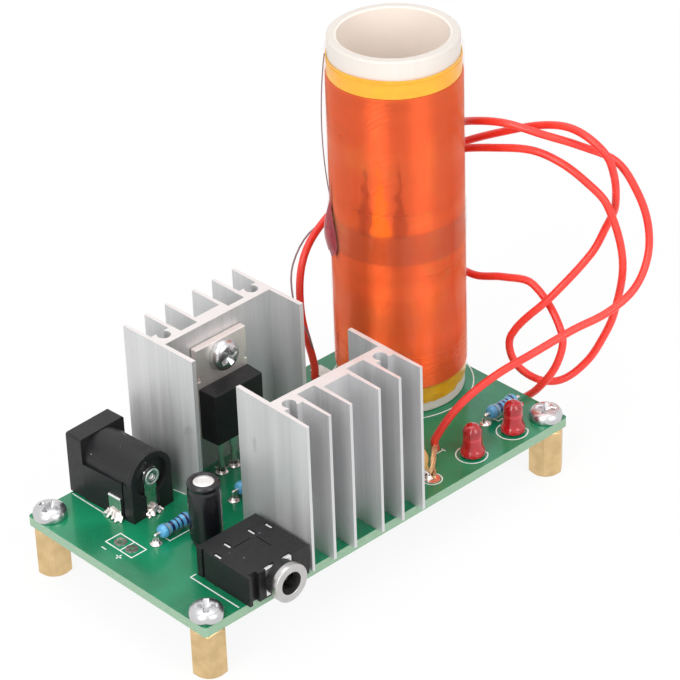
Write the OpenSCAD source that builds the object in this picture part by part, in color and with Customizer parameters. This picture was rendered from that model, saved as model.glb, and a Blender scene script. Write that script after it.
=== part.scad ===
// Desktop resonant transformer: a small board on four standoffs carries two finned heat sinks with
// a power transistor each, a power jack, an audio jack, indicator lamps and a long upright coil.
// X runs along the board, Y from its front edge to its rear edge, Z up from the table.
// The origin lies in the middle of the four standoffs, on the table.

/* [Circuit board] */
// Length of the board
board_l = 75; // [74:0.5:90]
// Width of the board
board_w = 40; // [39.5:0.5:50]
// Thickness of the board
board_t = 1.6; // [1:0.1:2.4]
// Radius of the board's corners
board_corner_r = 0.6; // [0.2:0.1:1.2]
// Distance from the board's edges to the standoff holes
hole_inset = 2.4; // [2.2:0.1:3]
// Diameter of the standoff holes
hole_d = 3.2; // [3.1:0.05:3.4]

/* [Standoffs and screws] */
// Height of a standoff
standoff_h = 8; // [7:0.5:15]
// Width across the flats of a standoff
standoff_af = 5; // [4.6:0.1:5.6]
// Diameter of the standoff's upper bore, which holds the board screw
standoff_bore_d = 3; // [2.8:0.1:3]
// Diameter of the standoff's lower bore: the core of its thread
foot_bore_d = 2.5; // [2.4:0.05:2.6]
// Wall left between the two bores of a standoff
standoff_web = 0.6; // [0.4:0.1:1]
// Height of the chamfer on a standoff's ends
standoff_chamfer = 0.3; // [0.1:0.05:0.5]
// Diameter of a screw head
screw_head_d = 5.2; // [4.5:0.1:5.4]
// Height of a screw head
screw_head_h = 1.9; // [1.4:0.1:2.2]
// Length of a board screw under its head
screw_l = 5; // [4:0.5:6]
// Width of an arm of the cross recess in a screw head
recess_w = 0.7; // [0.4:0.05:0.9]
// Depth of the cross recess
recess_depth = 1.1; // [0.5:0.1:1.2]

/* [Heat sinks] */
// Width of a heat sink
sink_w = 22.5; // [21:0.5:26]
// Height of a heat sink
sink_h = 25; // [23:0.5:40]
// Thickness of the web
web_t = 1.1; // [0.9:0.1:1.6]
// Thickness of the web's middle, which carries the transistor
boss_t = 2.3; // [1.8:0.1:3]
// Thickness of a fin at its root
fin_t = 0.75; // [0.6:0.05:1]
// Thickness of a fin at its tip
fin_tip_t = 0.5; // [0.4:0.05:0.6]
// Length of the fins from the web
fin_l = 7.4; // [5:0.1:8]
// Thickness of the two side walls
side_wall_t = 0.75; // [0.6:0.05:1.2]
// Length of the side walls from the web
side_wall_l = 6.6; // [6:0.1:7.5]
// Share of the board's length between the power jack and the heat sinks
sink_gap_share = 0.0369; // [0.028:0.0001:0.05]
// Distance from the board's rear edge to the web of the rear heat sink
rear_web_setback = 9.65; // [9:0.05:11]
// Distance from the board's front edge to the web of the front heat sink
front_web_setback = 7.3; // [6.5:0.05:9]
// Turn of the rear heat sink from square
rear_sink_turn = 1.05; // [-3:0.05:3]
// Turn of the front heat sink from square
front_sink_turn = -1.1; // [-3:0.05:3]
// Diameter of a heat sink's mounting pin
sink_pin_d = 2; // [1.8:0.1:2.4]
// Length of a pin inside its heat sink
sink_pin_grip = 9; // [6:0.5:12]

/* [Power transistors] */
// Width of a transistor
case_w = 10; // [9.6:0.1:10.4]
// Height of the moulded case
case_h = 8.7; // [8.4:0.1:9.2]
// Depth of the moulded case in front of its tab
case_d = 3.5; // [2.8:0.1:3.6]
// Height of the case above the board
case_lift = 6.75; // [4:0.05:7]
// Height of the metal tab above the top of the case
tab_rise = 6.7; // [6:0.1:6.8]
// Thickness of the metal tab
tab_t = 1.2; // [1:0.05:1.4]
// Diameter of the hole in the tab
tab_hole_d = 3.6; // [3.4:0.05:3.9]
// Distance between the transistor's leads
lead_pitch = 2.54; // [2.4:0.01:2.6]
// Thickness of the insulating pad behind the tab
pad_t = 0.2; // [0.1:0.05:0.4]
// Length of the screw that holds the tab
tab_screw_l = 6; // [5:0.5:7]

/* [Power jack] */
// Share of the board's length to the left of the power jack
power_jack_inset_share = 0.1137; // [0.11:0.0001:0.13]
// Distance that the power jack stands out past the rear edge
power_jack_proud = 0.45; // [0:0.05:1]
// Turn of the power jack from square
power_jack_turn = 2.7; // [-3:0.05:3]
// Width of the power jack's flange
power_jack_w = 8.75; // [8.6:0.05:9.3]
// Height of the power jack's flange
power_jack_h = 10.65; // [10.5:0.05:12]
// Length of the power jack
power_jack_l = 13.65; // [12.5:0.05:14.5]
// Thickness of the flange
flange_t = 3.3; // [3:0.1:4]
// Height of the plug's axis above the board
plug_axis_h = 6.6; // [6.5:0.05:6.7]
// Width of the body's rear end, under its barrel
power_body_w = 8; // [7.9:0.1:8.4]
// Height of the ledge between body and barrel
ledge_h = 6.35; // [4:0.05:6.4]
// Diameter of the barrel
barrel_d = 7.8; // [7.6:0.1:7.9]
// Diameter of the plug's bore
plug_bore_d = 6.3; // [6:0.05:6.4]
// Diameter of the centre pin
centre_pin_d = 2; // [1.6:0.1:2.5]

/* [Audio jack] */
// Gap between the audio jack and the heat sinks
audio_gap = 0.65; // [0.5:0.05:1.2]
// Distance that the body stands out past the front edge
audio_proud = 0.8; // [0.3:0.1:1.5]
// Width of the audio jack
audio_w = 11.5; // [11:0.1:12.5]
// Length of the audio jack's body
audio_l = 11.3; // [11:0.1:12.5]
// Height of the audio jack's body
audio_h = 5; // [5:0.1:6]
// Length of the round nose in front of the body
nose_l = 2.6; // [2.2:0.1:3.5]
// Outer diameter of the metal bush at its tip
nose_d = 6.1; // [5.6:0.1:6.4]
// Diameter of the bore that takes the plug
audio_bore_d = 3.6; // [3.55:0.05:3.7]

/* [Capacitors] */
// Diameter of the can capacitor
can_d = 5; // [4.8:0.1:5.6]
// Height of the can
can_h = 10.1; // [9:0.1:12]
// Height of the rubber bung under the can
bung_h = 0.8; // [0.5:0.1:1.5]
// Gap between the audio jack and the can
can_gap = 2.75; // [2:0.05:3]
// Diameter of the disc capacitor
disc_d = 5; // [4.5:0.1:5.6]
// Thickness of the disc capacitor
disc_t = 2.2; // [1.8:0.1:2.6]
// Height of the disc above the board
disc_lift = 1.3; // [1:0.1:2]

/* [Resistors and lamps] */
// Length of a resistor's body
resistor_l = 5.7; // [5.4:0.1:6.2]
// Diameter of a resistor's body
resistor_d = 2.15; // [2:0.05:2.4]
// Diameter of the wire leads
lead_d = 0.55; // [0.45:0.05:0.65]
// Diameter of a lamp's lens
lamp_d = 3; // [2.8:0.1:3.2]
// Diameter of a lamp's flange
lamp_flange_d = 3.8; // [3.5:0.1:4]
// Height of a lamp from its flange to its top
lamp_h = 5.3; // [5:0.1:5.6]
// Share of the free length beside the lamps that lies between them
lamp_gap_share = 0.367; // [0.3:0.001:0.45]

/* [Coil] */
// Outer diameter of the coil tube
tube_d = 20; // [18:0.5:20.5]
// Wall of the coil tube
tube_wall = 1.55; // [1:0.05:2]
// Height of the coil tube
tube_h = 61.2; // [55:0.2:80]
// Gap between the tube and the board's right edge
tube_margin = 0.4; // [0.2:0.1:1]
// Distance from the tube to the board's rear edge
tube_rear_gap = 3.9; // [3.5:0.1:4.5]
// Bare length of tube below the lower tape
bare_foot_h = 1.8; // [1:0.1:2.5]
// Width of the lower tape
lower_tape_h = 2.8; // [2:0.1:4]
// Width of the upper tape
upper_tape_h = 2.95; // [2:0.05:4]
// Bare length of tube above the upper tape
bare_rim_h = 3.05; // [2:0.05:5]
// Thickness of a tape band
tape_t = 0.15; // [0.1:0.01:0.2]
// Height of a turn of the winding from the tube
turn_t = 0.25; // [0.15:0.01:0.3]
// Gap between neighbouring turns
turn_gap = 0.45; // [0.42:0.01:0.6]
// Number of turns drawn
turns = 24; // [12:1:24]
// Thickness of the clear film
film_t = 0.1; // [0.05:0.01:0.15]
// Width of the strip where the two films overlap
film_lap = 5.3; // [2:0.1:8]
// Height of the upper edge of the lower film above the tape
lower_film_h = 27.8; // [15:0.1:35]

/* [Primary wire] */
// Diameter of the insulated wire
wire_d = 1.25; // [1:0.05:1.3]
// Diameter of its bare core
core_d = 0.7; // [0.5:0.05:0.8]
// Diameter of the fine lead of the coil
fine_d = 0.3; // [0.3:0.02:0.4]

/* [Hidden] */
$fn = 48;
small_fn = 24;
// Clearance of parts that fit into one another
fit = 0.05;
// Overrun of every cut
over = 0.4;
// Length of lead that stands out under the board
lead_tail = 1.2;
// Gap between a lead and its hole in the board
hole_gap = 0.12;

// Board
board_top = standoff_h + board_t;
left_edge = -board_l / 2;
right_edge = board_l / 2;
front_edge = -board_w / 2;
rear_edge = board_w / 2;
hole_x = right_edge - hole_inset;
hole_y = rear_edge - hole_inset;
corners = [[-1, 1], [-1, -1], [1, -1], [1, 1]];

// Standoffs and screws
standoff_turns = [-6, -9, -22, 10];
screw_turns = [20, 48, 5, 33];
screw_d = standoff_bore_d - 2 * fit;
screw_bore_depth = screw_l - board_t + fit;
// Shares of a screw head's radius and height
head_edge_share = 0.35;
recess_span_share = 0.58;

// Power jack
power_jack_inset = power_jack_inset_share * board_l;
power_x = left_edge + power_jack_inset + power_jack_w / 2;
power_front_y = rear_edge + power_jack_proud;
plug_depth = 9.5;
rear_recess = 0.7;
barrel_rim = 0.7;
barrel_lip = 0.15;
barrel_lip_l = 1;
flange_edge = 0.4;
rivet_d = 2.95;
rivet_neck_d = 1.7;
rivet_bore_d = 1.4;
rivet_t = 0.5;
pin_tip_inset = 0.8;
strap_w = 2.4;
strap_t = 0.35;
side_tab_w = 2.6;
side_tab_h = 3.6;
side_tab_back = 3.6;
side_tab_out = 0.45;
side_tab_lip = 0.6;
side_slit_w = 0.3;
spring_w = 2.6;
spring_lift = 0.5;

// Heat sinks
sink_gap = sink_gap_share * board_l;
sink_left_x = left_edge + power_jack_inset + power_jack_w + sink_gap;
sink_x = sink_left_x + sink_w / 2;
rear_sink_shift = -0.15;
sink_at = [
    [sink_x + rear_sink_shift, rear_edge - rear_web_setback],
    [sink_x, front_edge + front_web_setback]
];
sink_turn = [rear_sink_turn, 180 + front_sink_turn];
// Places of the fins' outer faces from the side, as shares of the width
fin_shares = [0, 0.181, 0.361];
pin_slot_w = 1.5;
pin_hook = 0.9;
sink_pin_r = sink_pin_d / 2;
sink_pin_x = sink_w / 2 - (fin_t + fin_shares[1] * sink_w) / 2;
sink_pin_y = web_t + sink_pin_r + fit;

// Power transistors, as seen from the web of their heat sink
// Sideways shift of each transistor from the middle of its heat sink
transistor_shift = [-0.9, 0];
tab_back_y = -pad_t;
tab_front_y = tab_back_y - tab_t;
case_front_y = tab_front_y - case_d;
case_top = case_lift + case_h;
tab_top = case_top + tab_rise;
tab_hole_share = 0.62;
tab_hole_h = case_top + tab_hole_share * tab_rise;
tab_notch_w = 0.5;
tab_notch_h = 1.1;
tab_chamfer = 0.35;
case_draft = 0.25;
lead_back = 2.5;
lead_w = 0.8;
lead_t = 0.5;
lead_shoulder_w = 1.3;
lead_shoulder_l = 2.8;

// Audio jack
audio_x = sink_left_x - audio_gap - audio_w / 2;
audio_front_y = front_edge - audio_proud;
audio_back_y = audio_front_y + audio_l;
audio_axis_h = audio_h / 2;
audio_back_wall = 1;
bush_face_t = 1.1;
bush_sleeve_d = 4.6;
nose_boss_d = 5.5;
// Places of the four legs as shares of the body's width and length
audio_leg_shares = [[0.06, 0.65], [0.295, 0.74], [0.7, 0.74], [0.94, 0.68]];
leg_w = 1.3;
leg_t = 0.35;
leg_drop = 0.1;
leg_slot_gap = 0.12;
plate_w = 5;
plate_t = 0.35;
plate_end_w = 1.3;
plate_end_t = 0.6;
plate_back = 0.35;
plate_gap = 0.15;
// Grooves in the top, each from one corner to the other as shares of the body's width and length
top_groove_shares = [[[0.31, 0.64], [0.58, 0.64]], [[0.67, 0.33], [0.67, 0.6]]];
body_groove = 0.2;
body_groove_w = 0.15;
// Upright grooves in the body's front and in its left side
front_groove_w = 1.3;
front_groove_depth = 0.8;
front_groove_inset = 0.55;
side_groove_w = 0.5;
side_groove_depth = 0.3;
side_groove_inset = 1.1;

// Can capacitor
can_shift = 0.7;
can_x = audio_x + can_shift;
can_y = audio_back_y + can_gap + can_d / 2;
can_lead_pitch = 2;
sleeve_t = 0.45;
bung_d = can_d - 2 * sleeve_t;
shoulder_w = 1;
vent_d = can_d - 2 * shoulder_w;
vent_drop = 0.2;
vent_t = 0.3;
can_round = 0.5;

// Disc capacitor
disc_gap = 0.75;
disc_setback = 4;
disc_x = sink_x + sink_w / 2 + disc_gap + disc_d / 2;
disc_y = front_edge + disc_setback;
disc_lead_pitch = 5;
disc_lead_angle = 40;
disc_bend_h = 0.9;
disc_axis_h = disc_lift + disc_d / 2;
// Half the outline of the disc as shares of its radius and thickness
disc_shares = [[0, 0.5], [0.55, 0.47], [0.8, 0.38], [0.93, 0.25], [0.985, 0.12], [1, 0]];

// Resistors
resistor_lift = 0.4;
resistor_axis_h = resistor_d / 2 + resistor_lift;
resistor_waist = 0.12;
resistor_end_l = 1.4;
resistor_round = 0.45;
bend_out = 0.8;
feed_gap = 2.45;
feed_shift = -2;
gate_shift = -3.6;
lamp_feed_inset = 6.5;
lamp_feed_gap = 4.5;

// Indicator lamps
lamp_setback = 3.4;
lamp_y = front_edge + lamp_setback;
// The lamps stand between the disc capacitor and the corner screw: a least clearance on each side
// of a lamp, and the free length that is left shared out
lamp_clearance = 0.7;
lamp_corner_share = 0.0915;
lamp_row_start = disc_x + disc_d / 2 + lamp_clearance;
lamp_row_end = right_edge - hole_inset - screw_head_d / 2 - lamp_clearance;
lamp_free_l = lamp_row_end - lamp_row_start - 2 * lamp_flange_d - lamp_clearance;
lamp_right_x = lamp_row_end - lamp_corner_share * lamp_free_l - lamp_flange_d / 2;
lamp_spacing = lamp_flange_d + lamp_clearance + lamp_gap_share * lamp_free_l;
lamp_x = [lamp_right_x - lamp_spacing, lamp_right_x];
lamp_lift = 0.3;
lamp_flange_t = 1;
lamp_lead_pitch = 2.54;

// Centres of the resistors: power feed, transistor feed and lamp feed
resistor_at = [
    [can_x + feed_shift, can_y + can_d / 2 + feed_gap],
    [sink_x + gate_shift, can_y + can_d / 2 + feed_gap],
    [right_edge - lamp_feed_inset, lamp_y + lamp_feed_gap]
];

// Coil
coil_x = right_edge - tube_margin - tube_d / 2;
coil_y = rear_edge - tube_rear_gap - tube_d / 2;
tube_r = tube_d / 2;
tube_top = board_top + tube_h;
lower_tape_z = board_top + bare_foot_h;
winding_z = lower_tape_z + lower_tape_h;
upper_tape_z = tube_top - bare_rim_h - upper_tape_h;
winding_h = upper_tape_z - winding_z - 2 * fit;
turn_w = (winding_h - turns * turn_gap) / (turns + 1);
turn_rings = 24;
turn_r = (tube_r + fit) / cos(180 / turn_rings);
// Outline of a turn as shares of its height and width
turn_shares = [[0, -0.5], [0.5, -0.5], [1, -0.28], [1, 0.28], [0.5, 0.5], [0, 0.5]];
film_r = turn_r + turn_t + fit;
film_seam_z = winding_z + lower_film_h;
film_over = 0.6;
film_top = upper_tape_z + upper_tape_h + film_over;
fine_exit_angle = 62;

// Input pads near the board's left edge
input_pad_inset = 5.3;
input_pad_setback = 23.5;
input_pad_pitch = 2.54;
input_pad_r = 0.5;

// Solder
foot_r = 0.95;
foot_h = 0.9;
top_foot_r = 0.9;
top_foot_h = 0.45;
wide_foot_r = 1.65;
wide_foot_h = 1.1;
wire_foot_r = 0.8;
fine_foot_r = 0.5;
pin_foot = 0.7;
// The outline of a fillet as shares of its reach and height
fillet_shares = [[0, 1], [0.14, 0.55], [0.4, 0.2], [1, 0]];

// Route of the insulated wire from the coil's foot: up behind the coil, two wide loops to the right
// of it, once more round its back, down past the board's right edge, up behind it and over to the
// front edge
wire_route = [
    [-9.1, 10.4, 0],
    [-9.1, 10.4, 2.4],
    [-10.1, 11.9, 12.4],
    [-8.1, 12.9, 20.9],
    [-1.1, 14.4, 24.9],
    [3.9, 13.4, 26.9],
    [8.9, 9.9, 30.4],
    [11.9, 4.9, 33.9],
    [12.9, -1.1, 36.9],
    [13.9, -7.1, 38.9],
    [15.9, -13.1, 39.9],
    [17.4, -17.6, 38.9],
    [18.9, -21.6, 36.4],
    [20.4, -24.6, 32.9],
    [21.9, -26.6, 23.4],
    [21.9, -25.1, 13.4],
    [20.9, -23.6, 8.4],
    [19.4, -21.6, 3.9],
    [16.4, -19.1, 0.9],
    [13.4, -16.6, 1.4],
    [10.9, -14.1, 4.9],
    [10.9, -13.6, 9.4],
    [14.9, -18.6, 16.9],
    [21.4, -20.6, 22.4],
    [23.4, -21.6, 26.4],
    [23.4, -23.6, 31.4],
    [20.4, -25.1, 40.4],
    [19.4, -22.6, 43.4],
    [18.9, -18.1, 44.4],
    [17.9, -13.1, 43.4],
    [15.9, -7.1, 40.9],
    [14.9, -0.6, 37.4],
    [14.4, 5.4, 33.4],
    [12.4, 9.9, 28.4],
    [11.4, 11.4, 23.4],
    [12.4, 8.4, 18.4],
    [13.4, 2.9, 15.4],
    [13.4, -3.1, 14.9],
    [14.9, -8.1, 15.9],
    [16.4, -13.1, 15.9],
    [15.4, -20.1, 10.4],
    [13.9, -20.6, 5.9],
    [11.9, -18.6, 1.4],
    [11.4, -15.1, -2.1],
    [11.9, -10.1, -5.1],
    [13.4, -4.1, -7.1],
    [15.9, 1.9, -7.1],
    [17.4, 7.4, -4.1],
    [16.9, 11.9, 0.9],
    [14.9, 14.4, 7.4],
    [14.4, 14.9, 14.4],
    [14.9, 13.9, 21.4],
    [16.4, 11.4, 28.4],
    [16.4, 5.9, 34.9],
    [13.9, 0.4, 40.4],
    [12.4, -5.1, 43.4],
    [13.4, -10.1, 44.4],
    [15.9, -15.1, 43.4],
    [19.9, -19.6, 41.4],
    [23.4, -23.6, 38.9],
    [25.4, -26.1, 33.9],
    [26.4, -27.6, 28.4],
    [25.4, -28.6, 23.4],
    [21.9, -29.1, 19.4],
    [16.9, -28.1, 16.9],
    [11.4, -26.1, 15.4],
    [4.9, -24.1, 13.4],
    [-1.1, -21.6, 10.9],
    [-6.6, -19.6, 7.4],
    [-10.1, -17.6, 1.9],
    [-10.1, -17.6, 0]
];

// Route of the coil's fine lower lead from the coil's foot, up along the insulated wire
fine_route = [
    [-8.1, 11.4, 0],
    [-8.1, 11.4, 2.4],
    [-11.1, 9.4, 9.9],
    [-11.6, 11.4, 12.9],
    [-9.1, 14.4, 19.4],
    [-1.1, 16.4, 22.4],
    [2.9, 14.9, 18.4],
    [5.4, 12.4, 12.4],
    [5.4, 10.4, 7.4]
];

coil_foot = [coil_x, coil_y, board_top];
wire_path = [for (p = wire_route) coil_foot + p];
wire_start = wire_path[0];
wire_end = wire_path[len(wire_path) - 1];
fine_start = coil_foot + fine_route[0];

// Plane geometry

function spin(p, a) = [p.x * cos(a) - p.y * sin(a), p.x * sin(a) + p.y * cos(a)];

function on_sink(i, p) = sink_at[i] + spin(p, sink_turn[i]);

function on_power_jack(p) =
    [power_x, power_front_y] + spin([p.x, p.y - power_jack_l], power_jack_turn);

// Places that the holes, the leads and the solder share

lamp_lead_spots = [for (x = lamp_x, s = [-1, 1]) [x + s * lamp_lead_pitch / 2, lamp_y]];
can_lead_spots = [for (s = [-1, 1]) [can_x, can_y + s * can_lead_pitch / 2]];
disc_lead_spots = [for (s = [-1, 1]) [disc_x + s * disc_lead_pitch / 2, disc_y]];
resistor_lead_spots = [
    for (at = resistor_at, s = [-1, 1]) [at.x + s * (resistor_l / 2 + bend_out), at.y]
];
wire_lead_spots = concat(
    lamp_lead_spots, can_lead_spots, disc_lead_spots, resistor_lead_spots
);
case_lead_spots = [
    for (i = [0, 1], s = [-1, 0, 1])
        on_sink(i, [transistor_shift[i] + s * lead_pitch, tab_back_y - lead_back])
];
sink_pin_spots = [for (i = [0, 1], s = [-1, 1]) on_sink(i, [s * sink_pin_x, sink_pin_y])];
input_pad_spots = [
    for (s = [-1, 1]) [
        left_edge + input_pad_inset,
        front_edge + input_pad_setback + s * input_pad_pitch / 2
    ]
];
audio_leg_spots = [
    for (s = audio_leg_shares) [
        audio_x - audio_w / 2 + s.x * audio_w,
        audio_front_y + s.y * audio_l
    ]
];
strap_at = [0, rear_recess - strap_t / 2];
side_tab_at = [-power_body_w / 2 - side_tab_out + strap_t / 2, side_tab_back];
spring_at = [0, power_jack_l - plug_depth + strap_t / 2 + 2 * fit];
strap_spot = on_power_jack(strap_at);
side_tab_spot = on_power_jack(side_tab_at);
spring_spot = on_power_jack(spring_at);
case_lead_r = norm([lead_w, lead_t]) / 2;
leg_r = norm([leg_w, leg_t]) / 2;
strap_r = norm([strap_w, strap_t]) / 2;

// Shared shapes

module at_sink(i)
    translate([sink_at[i].x, sink_at[i].y, board_top])
        rotate(sink_turn[i])
            children();

module at_transistor(i)
    at_sink(i)
        translate([transistor_shift[i], 0, 0])
            children();

module block(size, at)
    translate(at)
        cube(size);

module centred_block(size, at)
    translate([at.x - size.x / 2, at.y - size.y / 2, at.z])
        cube(size);

module rounded_rect(l, w, r) {
    square([l - 2 * r, w], center = true);
    square([l, w - 2 * r], center = true);
    for (c = corners)
        translate([c.x * (l / 2 - r), c.y * (w / 2 - r)])
            circle(r, $fn = small_fn);
}

// A rod between two points
module rod(a, b, r) {
    d = b - a;
    translate(a)
        rotate([0, acos(d.z / norm(d)), atan2(d.y, d.x)])
            cylinder(h = norm(d), r = r, $fn = small_fn);
}

// A wire bent at its inner points
module bent_wire(points, r) {
    last = len(points) - 1;
    for (i = [0 : last - 1])
        rod(points[i], points[i + 1], r);
    for (i = [1 : last - 1])
        translate(points[i])
            sphere(r, $fn = small_fn);
}

// A pan head with its shank hanging down from z = 0 and a cross recess
module pan_screw(shank_l, turn) {
    head_r = screw_head_d / 2;
    edge_h = head_edge_share * screw_head_h;
    dome_h = screw_head_h - edge_h;
    rotate(turn)
        difference() {
            rotate_extrude()
                polygon(concat(
                    [[0, -shank_l], [screw_d / 2, -shank_l], [screw_d / 2, 0], [head_r, 0]],
                    [for (a = [0 : 15 : 90]) [head_r * cos(a), edge_h + dome_h * sin(a)]]
                ));
            for (a = [0, 90])
                rotate(a)
                    centred_block(
                        [screw_head_d * recess_span_share, recess_w, recess_depth + over],
                        [0, 0, screw_head_h - recess_depth]
                    );
        }
}

// A hollow fillet that flows out from a round lead, standing on z = 0
module fillet(lead_r, reach, h)
    rotate_extrude($fn = small_fn)
        polygon(concat(
            [[lead_r, 0]],
            [for (s = fillet_shares) [lead_r + (reach - lead_r) * s.x, h * s.y]]
        ));

// Points of a tube along a route

function unit(v) = v / norm(v);

function along(route, i) =
    unit(route[min(i + 1, len(route) - 1)] - route[max(i - 1, 0)]);

function square_to(v, d) = unit(v - (v * d) * d);

function normals(route, found) =
    len(found) == len(route)
        ? found
        : normals(route, concat(found, [square_to(found[len(found) - 1], along(route, len(found)))]));

function tube_points(route, r, sides) =
    let (across = normals(route, [square_to([1, 0, 0], along(route, 0))]))
    [
        for (i = [0 : len(route) - 1], k = [0 : sides - 1])
            let (n = across[i], b = cross(along(route, i), n), a = 360 * k / sides)
            route[i] + r * (cos(a) * n + sin(a) * b)
    ];

function skin_faces(rings, sides) = concat(
    [
        for (i = [0 : rings - 2], k = [0 : sides - 1])
            let (a = i * sides + k, b = i * sides + (k + 1) % sides)
            [a, b + sides, b]
    ],
    [
        for (i = [0 : rings - 2], k = [0 : sides - 1])
            let (a = i * sides + k, b = i * sides + (k + 1) % sides)
            [a, a + sides, b + sides]
    ],
    [for (k = [1 : sides - 2]) [0, k, k + 1]],
    [
        for (k = [1 : sides - 2])
            let (first = (rings - 1) * sides)
            [first, first + k + 1, first + k]
    ]
);

module swept_tube(route, r, sides)
    polyhedron(tube_points(route, r, sides), skin_faces(len(route), sides), convexity = 10);

// Board and what holds it

module board()
    color("#16774a")
        translate([0, 0, standoff_h])
            difference() {
                linear_extrude(board_t)
                    rounded_rect(board_l, board_w, board_corner_r);
                for (c = corners)
                    translate([c.x * hole_x, c.y * hole_y, -over])
                        cylinder(h = board_t + 2 * over, d = hole_d);
                round_holes(wire_lead_spots, lead_d / 2);
                round_holes(case_lead_spots, case_lead_r);
                round_holes(sink_pin_spots, sink_pin_r);
                round_holes(input_pad_spots, input_pad_r);
                round_holes(audio_leg_spots, leg_r);
                round_holes([wire_start, wire_end], core_d / 2);
                round_holes([fine_start], fine_d / 2);
                strap_slot(strap_spot, [strap_w, strap_t]);
                strap_slot(side_tab_spot, [strap_t, side_tab_w]);
                strap_slot(spring_spot, [strap_w, strap_t]);
            }

module round_holes(spots, r)
    for (p = spots)
        translate([p.x, p.y, -over])
            cylinder(h = board_t + 2 * over, r = r + hole_gap, $fn = small_fn);

module strap_slot(p, size)
    translate([p.x, p.y, -over])
        rotate(power_jack_turn)
            centred_block(
                [size.x + 2 * hole_gap, size.y + 2 * hole_gap, board_t + 2 * over],
                [0, 0, 0]
            );

module standoff() {
    flat_r = standoff_af / 2;
    corner_r = flat_r / cos(30);
    difference() {
        intersection() {
            cylinder(h = standoff_h, r = corner_r, $fn = 6);
            rotate_extrude()
                polygon([
                    [0, 0],
                    [flat_r, 0],
                    [corner_r, standoff_chamfer],
                    [corner_r, standoff_h - standoff_chamfer],
                    [flat_r, standoff_h],
                    [0, standoff_h]
                ]);
        }
        translate([0, 0, standoff_h - screw_bore_depth])
            cylinder(h = screw_bore_depth + over, d = standoff_bore_d);
        translate([0, 0, -over])
            cylinder(h = standoff_h - screw_bore_depth - standoff_web + over, d = foot_bore_d);
    }
}

module standoffs()
    color("#d9bd83")
        for (i = [0 : 3])
            translate([corners[i].x * hole_x, corners[i].y * hole_y, 0])
                rotate(standoff_turns[i])
                    standoff();

module board_screws()
    color("#c9cbcd")
        for (i = [0 : 3])
            translate([corners[i].x * hole_x, corners[i].y * hole_y, board_top])
                pan_screw(screw_l, screw_turns[i]);

// Heat sinks: a web with six fins behind it and a side wall at each end in front of it; the web is
// thicker in its middle

module sink_outline() {
    translate([-sink_w / 2, 0])
        square([sink_w, web_t]);
    for (s = [-1, 1])
        scale([s, 1]) {
            translate([-sink_w / 2, -side_wall_l])
                square([side_wall_t, side_wall_l + web_t]);
            for (f = fin_shares)
                translate([-sink_w / 2 + f * sink_w, 0])
                    fin(f == 0 ? 0 : (fin_t - fin_tip_t) / 2);
            pin_channel();
        }
    translate([-sink_w / 2 + fin_shares[2] * sink_w, 0])
        square([sink_w - 2 * fin_shares[2] * sink_w, boss_t]);
}

// A fin that gets thinner towards its tip, whose outer face leans in by a set amount
module fin(lean)
    polygon([
        [0, 0],
        [fin_t, 0],
        [fin_t, web_t],
        [lean + fin_tip_t, web_t + fin_l],
        [lean, web_t + fin_l],
        [0, web_t]
    ]);

// The open channel between the two outer fins, which grips a mounting pin
module pin_channel() {
    depth = sink_pin_r + fit + pin_hook;
    difference() {
        translate([-sink_w / 2, 0])
            square([fin_shares[1] * sink_w + fin_t, web_t + depth]);
        translate([-sink_pin_x, sink_pin_y])
            circle(sink_pin_r + fit);
        translate([-sink_pin_x - pin_slot_w / 2, sink_pin_y])
            square([pin_slot_w, 2 * depth]);
    }
}

module heatsink(i)
    color("#c4c7cb")
        at_sink(i)
            difference() {
                linear_extrude(sink_h)
                    sink_outline();
                translate([transistor_shift[i], -over, tab_hole_h])
                    rotate([-90, 0, 0])
                        cylinder(h = boss_t + 2 * over, d = standoff_bore_d);
            }

module heatsink_rear()
    heatsink(0);

module heatsink_front()
    heatsink(1);

module heatsink_pins()
    color("#b9bcc0")
        for (p = sink_pin_spots)
            translate([p.x, p.y, standoff_h - lead_tail])
                cylinder(h = lead_tail + board_t + sink_pin_grip, r = sink_pin_r);

// Power transistors

module case_outline()
    polygon([
        [-case_w / 2, tab_front_y],
        [-case_w / 2 + case_draft, case_front_y],
        [case_w / 2 - case_draft, case_front_y],
        [case_w / 2, tab_front_y]
    ]);

module transistor_case(i)
    color("#232427")
        at_transistor(i)
            translate([0, 0, case_lift])
                linear_extrude(case_h)
                    case_outline();

module transistor_tab(i)
    color("#b5aca3")
        at_transistor(i)
            difference() {
                translate([-case_w / 2, tab_front_y, case_lift])
                    cube([case_w, tab_t, tab_top - case_lift]);
                translate([0, tab_front_y - over, tab_hole_h])
                    rotate([-90, 0, 0])
                        cylinder(h = tab_t + 2 * over, d = tab_hole_d);
                for (s = [-1, 1])
                    centred_block(
                        [2 * tab_notch_w, tab_t + 2 * over, tab_notch_h],
                        [s * case_w / 2, (tab_front_y + tab_back_y) / 2, case_top + tab_notch_h]
                    );
            }

module transistor_leads(i)
    color("#c9c6c2")
        at_transistor(i)
            for (s = [-1, 0, 1]) {
                centred_block(
                    [lead_shoulder_w, lead_t, lead_shoulder_l],
                    [s * lead_pitch, tab_back_y - lead_back, case_lift - lead_shoulder_l]
                );
                centred_block(
                    [lead_w, lead_t, case_lift + board_t + lead_tail],
                    [s * lead_pitch, tab_back_y - lead_back, -board_t - lead_tail]
                );
            }

module transistor_rear_case()
    transistor_case(0);

module transistor_rear_tab()
    transistor_tab(0);

module transistor_rear_leads()
    transistor_leads(0);

module transistor_front_case()
    transistor_case(1);

module transistor_front_tab()
    transistor_tab(1);

module transistor_front_leads()
    transistor_leads(1);

module transistor_screws()
    color("#d0d2d4")
        for (i = [0, 1])
            at_transistor(i)
                translate([0, tab_front_y, tab_hole_h])
                    rotate([90, 0, 0])
                        pan_screw(tab_screw_l, screw_turns[i]);

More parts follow.
